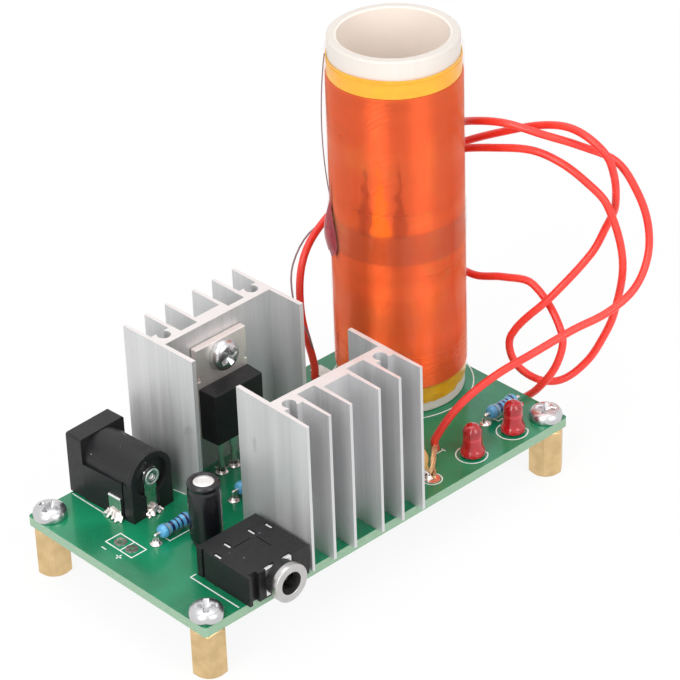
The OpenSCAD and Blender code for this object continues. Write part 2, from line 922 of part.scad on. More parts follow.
module insulator_pads()
    color("#9a9a98")
        for (i = [0, 1])
            at_transistor(i)
                difference() {
                    translate([-case_w / 2, -pad_t, case_lift])
                        cube([case_w, pad_t, tab_top - case_lift]);
                    translate([0, -pad_t - over, tab_hole_h])
                        rotate([-90, 0, 0])
                            cylinder(h = pad_t + 2 * over, d = tab_hole_d);
                }

// Power jack: a round barrel on a block that is narrower at its rear end, with a square flange at
// the plug's end

module at_power_jack()
    translate([power_x, power_front_y, board_top])
        rotate(power_jack_turn)
            translate([0, -power_jack_l, 0])
                children();

// A half round on the plug's axis, which reaches down to the ledge
module arch(d, l)
    translate([0, l, 0])
        rotate([90, 0, 0])
            linear_extrude(l) {
                translate([-d / 2, ledge_h])
                    square([d, plug_axis_h - ledge_h]);
                translate([0, plug_axis_h])
                    intersection() {
                        circle(d = d);
                        translate([-d / 2, 0])
                            square(d);
                    }
            }

module power_body()
    linear_extrude(ledge_h)
        polygon([
            [-power_body_w / 2, 0],
            [power_body_w / 2, 0],
            [power_jack_w / 2, power_jack_l - flange_t],
            [-power_jack_w / 2, power_jack_l - flange_t]
        ]);

module flange()
    translate([0, power_jack_l, power_jack_h / 2])
        rotate([90, 0, 0])
            linear_extrude(flange_t)
                rounded_rect(power_jack_w, power_jack_h, flange_edge);

// The rear strap lies in a recess, and the side tab in a notch with a slit beside it
module power_jack_cuts() {
    translate([0, rear_recess, 0])
        rotate([90, 0, 0])
            linear_extrude(rear_recess + over) {
                translate([0, plug_axis_h])
                    circle(d = barrel_d - 2 * barrel_rim);
                translate([-strap_w / 2 - fit, -over])
                    square([strap_w + 2 * fit, plug_axis_h + over]);
            }
    translate([0, power_jack_l - plug_depth, plug_axis_h])
        rotate([-90, 0, 0])
            cylinder(h = plug_depth + over, d = plug_bore_d);
    translate([0, -over, plug_axis_h])
        rotate([-90, 0, 0])
            cylinder(h = power_jack_l, d = centre_pin_d + 2 * fit);
    centred_block(
        [strap_t + 2 * fit, side_tab_w + 2 * fit, side_tab_h + fit + over],
        [side_tab_at.x, side_tab_at.y, -over]
    );
    centred_block(
        [2 * side_tab_lip + 2 * fit, side_tab_w + 2 * fit, strap_t + 2 * fit],
        [side_tab_at.x, side_tab_at.y, side_tab_h - strap_t - fit]
    );
    centred_block(
        [2 * side_tab_lip, side_slit_w, ledge_h + 2 * over],
        [side_tab_at.x, side_tab_at.y - side_tab_w / 2 - side_slit_w, -over]
    );
    centred_block(
        [spring_w + 2 * fit, plug_depth - flange_t, plug_axis_h],
        [0, power_jack_l - flange_t - (plug_depth - flange_t) / 2, -over]
    );
}

module power_jack_housing()
    color("#2b2b2e")
        at_power_jack()
            difference() {
                union() {
                    power_body();
                    arch(barrel_d, power_jack_l - flange_t);
                    arch(barrel_d + 2 * barrel_lip, barrel_lip_l);
                    flange();
                }
                power_jack_cuts();
            }

// The centre pin with its riveted head behind the rear wall
module power_jack_pin()
    color("#cfd1d3")
        at_power_jack()
            translate([0, rear_recess - strap_t - rivet_t, plug_axis_h])
                rotate([-90, 0, 0])
                    difference() {
                        union() {
                            cylinder(h = rivet_t, d = rivet_d);
                            cylinder(h = rivet_t + strap_t, d = rivet_neck_d);
                            translate([0, 0, rivet_t + strap_t])
                                cylinder(
                                    h = power_jack_l - rear_recess - pin_tip_inset,
                                    d = centre_pin_d
                                );
                        }
                        translate([0, 0, -over])
                            cylinder(h = rivet_t + over, d = rivet_bore_d, $fn = small_fn);
                    }

module power_jack_rear_strap()
    color("#c9cbca")
        at_power_jack()
            difference() {
                centred_block(
                    [strap_w, strap_t, board_t + lead_tail + plug_axis_h + strap_w / 2],
                    [0, rear_recess - strap_t / 2, -board_t - lead_tail]
                );
                translate([0, -over, plug_axis_h])
                    rotate([-90, 0, 0])
                        cylinder(h = rear_recess + 2 * over, d = rivet_neck_d + 2 * fit);
            }

module power_jack_side_tab()
    color("#c9cbca")
        at_power_jack() {
            centred_block(
                [strap_t, side_tab_w, board_t + lead_tail + side_tab_h],
                [side_tab_at.x, side_tab_at.y, -board_t - lead_tail]
            );
            translate([
                side_tab_at.x - strap_t / 2,
                side_tab_at.y - side_tab_w / 2,
                side_tab_h - strap_t
            ])
                cube([side_tab_lip + strap_t / 2, side_tab_w, strap_t]);
        }

// The leaf under the plug's bore, on a leg that goes down through the board
module power_jack_spring()
    color("#c3a45e")
        at_power_jack()
            translate(spring_at) {
                leaf_z = plug_axis_h - plug_bore_d / 2 - spring_lift;
                centred_block(
                    [strap_w, strap_t, board_t + lead_tail + leaf_z],
                    [0, 0, -board_t - lead_tail]
                );
                translate([-spring_w / 2, -strap_t / 2, leaf_z - strap_t])
                    cube([spring_w, plug_depth - flange_t - 2 * strap_t, strap_t]);
            }

// Audio jack

module at_audio_jack()
    translate([audio_x, audio_front_y, board_top])
        children();

module leg_size_block(i, grow, z, h)
    centred_block(
        [leg_t + 2 * grow, leg_w + 2 * grow, h],
        [audio_leg_spots[i].x, audio_leg_spots[i].y, z]
    );

module plate_outline(grow) {
    square([plate_w + 2 * grow, plate_t + 2 * grow], center = true);
    for (s = [-1, 1])
        translate([s * (plate_w - plate_end_w) / 2, 0])
            square([plate_end_w + 2 * grow, plate_end_t + 2 * grow], center = true);
}

module audio_jack_cuts() {
    translate([0, -nose_l - over, audio_axis_h])
        rotate([-90, 0, 0])
            cylinder(h = nose_l + over + audio_l - audio_back_wall, d = audio_bore_d);
    translate([0, -nose_l - over, audio_axis_h])
        rotate([-90, 0, 0])
            cylinder(h = nose_l + over, d = bush_sleeve_d + 2 * fit);
    translate([0, plate_back, plate_gap])
        linear_extrude(audio_h)
            plate_outline(fit);
    for (g = top_groove_shares)
        block(
            [
                (g[1].x - g[0].x) * audio_w + body_groove_w,
                (g[1].y - g[0].y) * audio_l + body_groove_w,
                body_groove + over
            ],
            [
                (g[0].x - 0.5) * audio_w - body_groove_w / 2,
                g[0].y * audio_l - body_groove_w / 2,
                audio_h - body_groove
            ]
        );
    block(
        [front_groove_w, front_groove_depth + over, audio_h + 2 * over],
        [-audio_w / 2 + front_groove_inset, -over, -over]
    );
    block(
        [side_groove_depth + over, side_groove_w, audio_h + 2 * over],
        [-audio_w / 2 - over, audio_l - side_groove_inset - side_groove_w, -over]
    );
}

module audio_jack_housing()
    color("#29292c")
        difference() {
            at_audio_jack() {
                centred_block([audio_w, audio_l, audio_h], [0, audio_l / 2, 0]);
                translate([0, -nose_l + bush_face_t, audio_axis_h])
                    rotate([-90, 0, 0])
                        cylinder(h = nose_l, d = nose_boss_d);
            }
            at_audio_jack()
                audio_jack_cuts();
            for (i = [0 : 3])
                leg_size_block(i, leg_slot_gap, board_top - over, audio_h + 2 * over);
        }

// The metal bush: a round face on a sleeve that runs through the nose
module audio_jack_ring()
    color("#cdd0d2")
        at_audio_jack()
            translate([0, 0, audio_axis_h])
                rotate([90, 0, 0])
                    rotate_extrude()
                        polygon([
                            [audio_bore_d / 2, 0],
                            [bush_sleeve_d / 2, 0],
                            [bush_sleeve_d / 2, nose_l - bush_face_t],
                            [nose_d / 2, nose_l - bush_face_t],
                            [nose_d / 2, nose_l],
                            [audio_bore_d / 2, nose_l]
                        ]);

// The plate that anchors the bush in the body
module audio_jack_plate()
    color("#cdd0d2")
        at_audio_jack()
            difference() {
                translate([0, plate_back, plate_gap])
                    linear_extrude(audio_h - 2 * plate_gap)
                        plate_outline(0);
                translate([0, 0, audio_axis_h])
                    rotate([-90, 0, 0])
                        cylinder(h = plate_back + plate_end_t + over, d = audio_bore_d + 2 * fit);
            }

module audio_jack_legs()
    color("#cdd0d2")
        for (i = [0 : 3])
            leg_size_block(
                i, 0, standoff_h - lead_tail, lead_tail + board_t + audio_h - leg_drop
            );

// Can capacitor

module at_can()
    translate([can_x, can_y, board_top])
        children();

module capacitor_sleeve()
    color("#2a2b30")
        at_can()
            rotate_extrude()
                polygon(concat(
                    [
                        [0, bung_h],
                        [bung_d / 2, bung_h],
                        [can_d / 2, bung_h + can_round]
                    ],
                    [
                        for (a = [0 : 30 : 90]) [
                            can_d / 2 - can_round + can_round * cos(a),
                            bung_h + can_h - can_round + can_round * sin(a)
                        ]
                    ],
                    [
                        [vent_d / 2 + fit, bung_h + can_h],
                        [vent_d / 2 + fit, bung_h + can_h - vent_drop - vent_t],
                        [0, bung_h + can_h - vent_drop - vent_t]
                    ]
                ));

module capacitor_vent()
    color("#d6d7d8")
        at_can()
            translate([0, 0, bung_h + can_h - vent_drop - vent_t])
                cylinder(h = vent_t, d = vent_d);

module capacitor_bung()
    color("#1c1c1d")
        difference() {
            at_can()
                cylinder(h = bung_h, d = bung_d);
            for (p = can_lead_spots)
                translate([p.x, p.y, board_top - over])
                    cylinder(h = bung_h + 2 * over, d = lead_d + 2 * fit, $fn = small_fn);
        }

module straight_leads(spots, d, top)
    for (p = spots)
        translate([p.x, p.y, standoff_h - lead_tail])
            cylinder(h = lead_tail + board_t + top, d = d, $fn = small_fn);

module capacitor_leads()
    color("#c9c6c2")
        straight_leads(can_lead_spots, lead_d, bung_h);

// Disc capacitor, standing on its rim across the board's front

module disc_capacitor()
    color("#cd9b58")
        translate([disc_x, disc_y, board_top + disc_axis_h])
            rotate([90, 0, 0])
                rotate_extrude()
                    polygon(concat(
                        [for (s = disc_shares) [s.x * disc_d / 2, s.y * disc_t]],
                        [
                            for (i = [len(disc_shares) - 2 : -1 : 0])
                                [disc_shares[i].x * disc_d / 2, -disc_shares[i].y * disc_t]
                        ]
                    ));

module disc_capacitor_leads()
    color("#c9c6c2")
        for (s = [-1, 1]) {
            x = disc_x + s * disc_lead_pitch / 2;
            rim = disc_d / 2 + 3 * fit;
            swept_tube(
                [
                    [x, disc_y, standoff_h - lead_tail],
                    [x, disc_y, board_top + disc_bend_h],
                    [
                        disc_x + s * rim * sin(disc_lead_angle),
                        disc_y,
                        board_top + disc_axis_h - rim * cos(disc_lead_angle)
                    ]
                ],
                lead_d / 2,
                8
            );
        }

// Resistors

module resistor(i)
    color("#5aa9da")
        translate([resistor_at[i].x - resistor_l / 2, resistor_at[i].y, board_top + resistor_axis_h])
            rotate([0, 90, 0])
                rotate_extrude() {
                    r = resistor_d / 2;
                    waist_r = r - resistor_waist;
                    polygon([
                        [0, 0],
                        [r - resistor_round, 0],
                        [r, resistor_round],
                        [r, resistor_end_l],
                        [waist_r, resistor_end_l + resistor_waist],
                        [waist_r, resistor_l - resistor_end_l - resistor_waist],
                        [r, resistor_l - resistor_end_l],
                        [r, resistor_l - resistor_round],
                        [r - resistor_round, resistor_l],
                        [0, resistor_l]
                    ]);
                }

module resistor_power()
    resistor(0);

module resistor_gate()
    resistor(1);

module resistor_lamp()
    resistor(2);

module resistor_leads()
    color("#c9c6c2")
        for (at = resistor_at, s = [-1, 1]) {
            x = at.x + s * (resistor_l / 2 + bend_out);
            axis_z = board_top + resistor_axis_h;
            bent_wire(
                [
                    [at.x + s * resistor_l / 2, at.y, axis_z],
                    [x, at.y, axis_z],
                    [x, at.y, standoff_h - lead_tail]
                ],
                lead_d / 2
            );
        }

// Indicator lamps

module lamp(x)
    color("#d0122c")
        translate([x, lamp_y, board_top + lamp_lift])
            difference() {
                rotate_extrude()
                    polygon(concat(
                        [
                            [0, 0],
                            [lamp_flange_d / 2, 0],
                            [lamp_flange_d / 2, lamp_flange_t],
                            [lamp_d / 2, lamp_flange_t]
                        ],
                        [
                            for (a = [0 : 10 : 90])
                                [lamp_d / 2 * cos(a), lamp_h - lamp_d / 2 + lamp_d / 2 * sin(a)]
                        ]
                    ));
                block(
                    [lamp_flange_d, lamp_flange_d, lamp_flange_t + 2 * over],
                    [lamp_d / 2 + fit, -lamp_flange_d / 2, -over]
                );
            }

module lamp_left()
    lamp(lamp_x[0]);

module lamp_right()
    lamp(lamp_x[1]);

module lamp_leads()
    color("#c9c6c2")
        straight_leads(lamp_lead_spots, lead_d, lamp_lift);

// Coil: a tube, the winding round it, a tape band at each end and two clear films over them

module sleeve(r, t, z, h)
    translate([coil_x, coil_y, z])
        difference() {
            cylinder(h = h, r = r + t, $fn = 96);
            translate([0, 0, -over])
                cylinder(h = h + 2 * over, r = r, $fn = 96);
        }

module coil_tube()
    color("#efe6da")
        sleeve(tube_r - tube_wall, tube_wall, board_top, tube_h);

turn_ring_count = turns * turn_rings + 1;
turn_points = [
    for (i = [0 : turn_ring_count - 1], s = turn_shares)
        let (
            a = 360 * i / turn_rings,
            r = turn_r + s.x * turn_t,
            rise = i * (turn_w + turn_gap) / turn_rings
        )
        [
            coil_x + r * cos(a),
            coil_y + r * sin(a),
            winding_z + fit + turn_w / 2 + rise + s.y * turn_w
        ]
];
turn_sides = len(turn_shares);
least_turn_gap = min([
    for (i = [0 : turn_ring_count - 1 - turn_rings], j = [0 : turn_sides - 1], k = [0 : turn_sides - 1])
        norm(turn_points[i * turn_sides + j] - turn_points[(i + turn_rings) * turn_sides + k])
]);
echo("least gap between two turns", least_turn_gap);

module winding()
    color("#c65b2e")
        polyhedron(turn_points, skin_faces(turn_ring_count, turn_sides), convexity = 10);

module film_lower()
    color("#f3e3dc", 0.5)
        sleeve(film_r, film_t, winding_z, lower_film_h);

module film_upper()
    color("#f3e3dc", 0.5)
        translate([coil_x, coil_y, 0])
            rotate_extrude($fn = 96) {
                lap_r = film_r + film_t + fit;
                lap_z = film_seam_z - film_lap;
                step_z = film_seam_z + fit;
                polygon([
                    [lap_r, lap_z],
                    [lap_r + film_t, lap_z],
                    [lap_r + film_t, step_z + film_t],
                    [film_r + film_t, step_z + film_t],
                    [film_r + film_t, film_top],
                    [film_r, film_top],
                    [film_r, step_z],
                    [lap_r, step_z]
                ]);
            }

module tape_lower()
    color("#e0aa2a")
        sleeve(tube_r + fit / 2, tape_t, lower_tape_z, lower_tape_h);

module tape_upper()
    color("#f2bf35")
        sleeve(tube_r + fit / 2, tape_t, upper_tape_z, upper_tape_h);

// Wires

function around(r, a, z) = [coil_x + r * cos(a), coil_y + r * sin(a), z];

fine_end_z = winding_z + turn_w / 2;
fine_reach = 2;
fine_path = concat(
    [for (p = fine_route) coil_foot + p],
    [
        around(film_r + film_t + fine_reach, fine_exit_angle, fine_end_z),
        around(film_r + film_t, fine_exit_angle, fine_end_z)
    ]
);

function route_length(route) =
    len(route) < 2 ? 0 : [for (i = [1 : len(route) - 1]) norm(route[i] - route[i - 1])]
        * [for (i = [1 : len(route) - 1]) 1];

echo("length of the insulated wire", route_length(wire_path));
echo("length of the fine lead", route_length(fine_path));

module primary_wire()
    color("#e33730")
        swept_tube(wire_path, wire_d / 2, 8);

module primary_wire_ends()
    color("#c77c4a")
        straight_leads([wire_start, wire_end], core_d, 0);

module secondary_lead()
    color("#7c3a22")
        swept_tube(fine_path, fine_d / 2, 8);

module secondary_lead_end()
    color("#7c3a22")
        straight_leads([fine_start], fine_d, 0);

// Solder: a fillet under the board on every lead, and one above it where the leads show

module fillets_under(spots, lead_r, reach)
    for (p = spots)
        translate([p.x, p.y, standoff_h])
            mirror([0, 0, 1])
                fillet(lead_r + fit, reach, foot_h);

module fillets_over(spots, lead_r)
    for (p = spots)
        translate([p.x, p.y, board_top])
            fillet(lead_r + fit, top_foot_r, top_foot_h);

module strap_fillet(p, size)
    translate([p.x, p.y, 0])
        rotate(power_jack_turn)
            difference() {
                fillet(0, wide_foot_r, wide_foot_h);
                centred_block(
                    [size.x + 2 * fit, size.y + 2 * fit, wide_foot_h + 2 * over],
                    [0, 0, -over]
                );
            }

module solder_joints()
    color("#c8bdb6") {
        fillets_under(wire_lead_spots, lead_d / 2, foot_r);
        fillets_under(case_lead_spots, case_lead_r, foot_r);
        fillets_under(audio_leg_spots, leg_r, foot_r);
        fillets_under(sink_pin_spots, sink_pin_r, sink_pin_r + pin_foot);
        fillets_under([wire_start, wire_end], core_d / 2, wire_foot_r);
        fillets_under([fine_start], fine_d / 2, fine_foot_r);
        fillets_over(resistor_lead_spots, lead_d / 2);
        fillets_over(disc_lead_spots, lead_d / 2);
        fillets_over(case_lead_spots, case_lead_r);
        for (strap = [
            [strap_spot, [strap_w, strap_t]],
            [side_tab_spot, [strap_t, side_tab_w]],
            [spring_spot, [strap_w, strap_t]]
        ])
            translate([0, 0, standoff_h])
                mirror([0, 0, 1])
                    strap_fillet(strap[0], strap[1]);
    }

board();
standoffs();
board_screws();
heatsink_rear();
heatsink_front();
heatsink_pins();
transistor_rear_case();
transistor_rear_tab();
transistor_rear_leads();
transistor_front_case();
transistor_front_tab();
transistor_front_leads();
transistor_screws();
insulator_pads();
power_jack_housing();
power_jack_pin();
power_jack_spring();
power_jack_rear_strap();
power_jack_side_tab();
audio_jack_housing();
audio_jack_ring();
audio_jack_plate();
audio_jack_legs();
capacitor_sleeve();
capacitor_vent();
capacitor_bung();
capacitor_leads();
disc_capacitor();
disc_capacitor_leads();
resistor_power();
resistor_gate();
resistor_lamp();
resistor_leads();
lamp_left();
lamp_right();
lamp_leads();
coil_tube();
winding();
film_lower();
film_upper();
tape_lower();
tape_upper();
primary_wire();
primary_wire_ends();
secondary_lead();
secondary_lead_end();
solder_joints();
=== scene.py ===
"""Looks of the desktop resonant transformer: finishes, relief and fine pieces on its frame."""

import math
import random

import bmesh
import bpy
from mathutils import Matrix, Vector, noise


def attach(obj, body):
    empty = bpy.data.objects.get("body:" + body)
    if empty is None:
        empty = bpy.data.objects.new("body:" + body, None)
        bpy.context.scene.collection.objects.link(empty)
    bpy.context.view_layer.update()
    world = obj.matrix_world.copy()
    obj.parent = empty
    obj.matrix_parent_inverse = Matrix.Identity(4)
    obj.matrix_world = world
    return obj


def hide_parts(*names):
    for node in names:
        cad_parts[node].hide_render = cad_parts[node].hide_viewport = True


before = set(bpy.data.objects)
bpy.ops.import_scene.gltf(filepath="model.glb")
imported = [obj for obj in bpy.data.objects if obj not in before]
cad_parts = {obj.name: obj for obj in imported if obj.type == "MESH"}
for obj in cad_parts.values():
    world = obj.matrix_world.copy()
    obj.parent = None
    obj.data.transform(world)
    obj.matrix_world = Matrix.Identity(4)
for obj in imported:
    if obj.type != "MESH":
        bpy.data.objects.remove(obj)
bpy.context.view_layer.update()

MM = 0.001
PHOTO_SIZE = 680
SENSOR = 36.0
SHARP_ANGLE = math.radians(38)


def vec(x, y, z):
    """A point given in millimetres."""
    return Vector((x, y, z)) * MM


# Camera: where the photograph was taken from, worked out from the board's corners, screws and coil

CAMERA_PLACE = vec(-252.42, -285.0, 269.91)
CAMERA_AZIMUTH = math.radians(-42.484)
CAMERA_ELEVATION = math.radians(32.03)
CAMERA_ROLL = math.radians(-2.119)
FOCAL_PIXELS = 3031.4


def add_camera():
    """The photograph's own camera."""
    data = bpy.data.cameras.new("photo_camera")
    data.sensor_width = SENSOR
    data.lens = FOCAL_PIXELS / PHOTO_SIZE * SENSOR
    data.clip_start, data.clip_end = 0.01, 10
    camera = bpy.data.objects.new("photo_camera", data)
    bpy.context.scene.collection.objects.link(camera)
    azimuth, elevation = CAMERA_AZIMUTH, CAMERA_ELEVATION
    back = Vector((
        math.sin(azimuth) * math.cos(elevation),
        -math.cos(azimuth) * math.cos(elevation),
        math.sin(elevation),
    ))
    level_right = Vector((math.cos(azimuth), math.sin(azimuth), 0))
    level_up = back.cross(level_right)
    right = math.cos(CAMERA_ROLL) * level_right + math.sin(CAMERA_ROLL) * level_up
    up = math.cos(CAMERA_ROLL) * level_up - math.sin(CAMERA_ROLL) * level_right
    turn = Matrix((right, up, back)).transposed()
    camera.matrix_world = Matrix.Translation(CAMERA_PLACE) @ turn.to_4x4()
    bpy.context.scene.camera = camera


add_camera()

# Places shared with the part's source, in millimetres

BOARD_TOP = 9.6
WIRE_DIAMETER = 1.25
FINE_DIAMETER = 0.3
COIL_FOOT = (27.1, 6.1, BOARD_TOP)
TUBE_RADIUS = 10.0
FILM_RADIUS = 10.537
FINE_EXIT_ANGLE = 62
FINE_EXIT_HEIGHT = 15.0
WINDING_ENDS = (14.25, 64.75)
LOWER_FILM_ENDS = (14.2, 41.95)
UPPER_FILM_ENDS = (36.75, 68.3)
FILM_INSIDE = 10.54
STRAND_PAD = (11.0, -16.8)
INPUT_PADS = ((-32.2, 4.77), (-32.2, 2.23))


def standing(x, y, turn=0.0, z=BOARD_TOP):
    """Where a sub-part stands on the board: its place and its turn in degrees."""
    return Matrix.Translation(vec(x, y, z)) @ Matrix.Rotation(math.radians(turn), 4, "Z")


def lying_along_x(x, y, z):
    """For a shape turned about Z that lies along the board's long side."""
    return Matrix.Translation(vec(x, y, z)) @ Matrix.Rotation(math.radians(90), 4, "Y")


REAR_SINK = standing(-6.35, 10.35, 1.05)
FRONT_SINK = standing(-6.2, -12.7, 178.9)
POWER_JACK = standing(-24.6, 20.45, 2.7) @ Matrix.Translation(vec(0, -13.65, 0))
CAN_PLACE = (-23.15, -4.25)
DISC_PLACE = (8.3, -16.0)
LAMP_PLACES = {"left": (19.9, -16.6), "right": (28.8, -16.6)}
RESISTOR_PLACES = {"power": (-25.15, 0.7), "gate": (-9.8, 0.7), "lamp": (31.0, -12.1)}
RESISTOR_AXIS_HEIGHT = 1.475
WIRE_END = (17.0, -11.5)

# Routes of the two wires from the coil's foot, as in the part's source

WIRE_ROUTE = [
    (-9.1, 10.4, 0), (-9.1, 10.4, 2.4), (-10.1, 11.9, 12.4), (-8.1, 12.9, 20.9),
    (-1.1, 14.4, 24.9), (3.9, 13.4, 26.9), (8.9, 9.9, 30.4), (11.9, 4.9, 33.9),
    (12.9, -1.1, 36.9), (13.9, -7.1, 38.9), (15.9, -13.1, 39.9), (17.4, -17.6, 38.9),
    (18.9, -21.6, 36.4), (20.4, -24.6, 32.9), (21.9, -26.6, 23.4), (21.9, -25.1, 13.4),
    (20.9, -23.6, 8.4), (19.4, -21.6, 3.9), (16.4, -19.1, 0.9), (13.4, -16.6, 1.4),
    (10.9, -14.1, 4.9), (10.9, -13.6, 9.4), (14.9, -18.6, 16.9), (21.4, -20.6, 22.4),
    (23.4, -21.6, 26.4), (23.4, -23.6, 31.4), (20.4, -25.1, 40.4), (19.4, -22.6, 43.4),
    (18.9, -18.1, 44.4), (17.9, -13.1, 43.4), (15.9, -7.1, 40.9), (14.9, -0.6, 37.4),
    (14.4, 5.4, 33.4), (12.4, 9.9, 28.4), (11.4, 11.4, 23.4), (12.4, 8.4, 18.4),
    (13.4, 2.9, 15.4), (13.4, -3.1, 14.9), (14.9, -8.1, 15.9), (16.4, -13.1, 15.9),
    (15.4, -20.1, 10.4), (13.9, -20.6, 5.9), (11.9, -18.6, 1.4), (11.4, -15.1, -2.1),
    (11.9, -10.1, -5.1), (13.4, -4.1, -7.1), (15.9, 1.9, -7.1), (17.4, 7.4, -4.1),
    (16.9, 11.9, 0.9), (14.9, 14.4, 7.4), (14.4, 14.9, 14.4), (14.9, 13.9, 21.4),
    (16.4, 11.4, 28.4), (16.4, 5.9, 34.9), (13.9, 0.4, 40.4), (12.4, -5.1, 43.4),
    (13.4, -10.1, 44.4), (15.9, -15.1, 43.4), (19.9, -19.6, 41.4), (23.4, -23.6, 38.9),
    (25.4, -26.1, 33.9), (26.4, -27.6, 28.4), (25.4, -28.6, 23.4), (21.9, -29.1, 19.4),
    (16.9, -28.1, 16.9), (11.4, -26.1, 15.4), (4.9, -24.1, 13.4), (-1.1, -21.6, 10.9),
    (-6.6, -19.6, 7.4), (-10.1, -17.6, 1.9), (-10.1, -17.6, 0),
]

FINE_ROUTE = [
    (-8.1, 11.4, 0), (-8.1, 11.4, 2.4), (-11.1, 9.4, 9.9), (-11.6, 11.4, 12.9),
    (-9.1, 14.4, 19.4), (-1.1, 16.4, 22.4), (2.9, 14.9, 18.4), (5.4, 12.4, 12.4),
    (5.4, 10.4, 7.4),
]


def from_coil_foot(route):
    """A route that was given from the coil's foot, in the object's own frame."""
    return [tuple(a + b for a, b in zip(COIL_FOOT, point)) for point in route]


def around_coil(radius, angle, height):
    """A point at an angle in degrees round the coil's axis."""
    turn = math.radians(angle)
    return (COIL_FOOT[0] + radius * math.cos(turn), COIL_FOOT[1] + radius * math.sin(turn), height)


WIRE_PATH = from_coil_foot(WIRE_ROUTE)
FINE_PATH = from_coil_foot(FINE_ROUTE) + [
    around_coil(FILM_RADIUS + 2, FINE_EXIT_ANGLE, FINE_EXIT_HEIGHT),
    around_coil(FILM_RADIUS, FINE_EXIT_ANGLE, FINE_EXIT_HEIGHT),
]


# Making pieces


def add_node(tree, kind, inputs=(), **settings):
    """A node with its settings, and each named input given a constant or linked to a socket."""
    made = tree.nodes.new(kind)
    for setting, value in settings.items():
        setattr(made, setting, value)
    for socket, value in dict(inputs).items():
        if isinstance(value, bpy.types.NodeSocket):
            tree.links.new(value, made.inputs[socket])
        else:
            made.inputs[socket].default_value = value
    return made


def loose_object(name, mesh):
    """A mesh as an object of the scene, not yet a piece."""
    piece = bpy.data.objects.new(name, mesh)
    bpy.context.scene.collection.objects.link(piece)
    return piece


def add_piece(name, mesh, finish, replaces=()):
    """A piece of the object: it rides on the one body and shows its finish."""
    piece = loose_object(name, mesh)
    mesh.materials.clear()
    mesh.materials.append(finish)
    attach(piece, "root")
    if replaces:
        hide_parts(*replaces)
    return piece


def applied(piece):
    """The piece's mesh with its modifiers applied."""
    bpy.context.view_layer.update()
    evaluated = piece.evaluated_get(bpy.context.evaluated_depsgraph_get())
    mesh = bpy.data.meshes.new_from_object(evaluated)
    bpy.data.objects.remove(piece)
    return mesh


def smooth(mesh, angle=SHARP_ANGLE):
    """Shades a mesh smooth except where it turns by more than the angle."""
    mesh.shade_smooth()
    mesh.set_sharp_from_angle(angle=angle)
    return mesh


def to_mesh(bm, name):
    """The finished mesh of what was built in bm."""
    mesh = bpy.data.meshes.new(name)
    bm.to_mesh(mesh)
    bm.free()
    return mesh


def node_copy(node):
    """A CAD node's mesh with its loose triangles joined again."""
    bm = bmesh.new()
    bm.from_mesh(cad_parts[node].data)
    bmesh.ops.remove_doubles(bm, verts=bm.verts, dist=1e-6)
    return bm


def level_ring(bm, radius, height, sides):
    """New vertices in a level ring round the Z axis; a radius of 0 gives a single one."""
    turns = [2 * math.pi * k / sides for k in range(sides if radius else 1)]
    return [bm.verts.new(vec(radius * math.cos(t), radius * math.sin(t), height)) for t in turns]


def skin(bm, rings, closed=True):
    """Faces between neighbouring rings of vertices; a ring of one vertex is a pole."""
    for low, high in zip(rings, rings[1:]):
        for k in range(max(len(low), len(high)) - (0 if closed else 1)):
            corners = [low[k % len(low)], low[(k + 1) % len(low)]]
            corners += [high[(k + 1) % len(high)], high[k % len(high)]]
            unique = list(dict.fromkeys(corners))
            if len(unique) > 2:
                bm.faces.new(unique)


def outward(bm):
    """The mesh data with every face turned to look outwards."""
    bmesh.ops.recalc_face_normals(bm, faces=bm.faces)
    return bm


def round_edges(piece, width, segments, angle):
    """Rounds the edges that turn by more than an angle in degrees."""
    bevel = piece.modifiers.new("edges", "BEVEL")
    bevel.width = width * MM
    bevel.segments = segments
    bevel.limit_method = "ANGLE"
    bevel.angle_limit = math.radians(angle)


def softened(node, width, finish, segments=2):
    """A CAD node's own shape with its edges rounded as moulding or cutting leaves them."""
    bm = node_copy(node)
    bmesh.ops.dissolve_limit(bm, angle_limit=math.radians(0.5), verts=bm.verts, edges=bm.edges)
    blank = loose_object(node, to_mesh(bm, node))
    round_edges(blank, width, segments, 32)
    weighted = blank.modifiers.new("flats", "WEIGHTED_NORMAL")
    weighted.keep_sharp = True
    return add_piece(node + "_soft", applied(blank), finish, [node])


def turned(name, profile, sides=48, ring=False):
    """A solid turned about Z; the profile is (radius, height) in millimetres, bottom to top."""
    bm = bmesh.new()
    rings = [level_ring(bm, radius, height, sides) for radius, height in profile]
    skin(bm, rings + rings[:1] if ring else rings)
    return smooth(to_mesh(outward(bm), name))


def joined(name, meshes):
    """One mesh from several meshes that already stand in place."""
    bm = bmesh.new()
    for mesh in meshes:
        bm.from_mesh(mesh)
    return to_mesh(bm, name)


def placed(mesh, place):
    """The same mesh, moved to its place."""
    mesh.transform(place)
    return mesh


def box_mesh(name, low, high, edge=0.0):
    """A block between two corners in millimetres, with its edges rounded by edge."""
    bm = bmesh.new()
    bmesh.ops.create_cube(bm, size=1)
    for vert in bm.verts:
        vert.co = vec(*(low[i] if vert.co[i] < 0 else high[i] for i in range(3)))
    if edge:
        bmesh.ops.bevel(
            bm, geom=bm.edges[:], offset=edge * MM, segments=2, profile=0.5, affect="EDGES",
        )
    return smooth(to_mesh(bm, name))


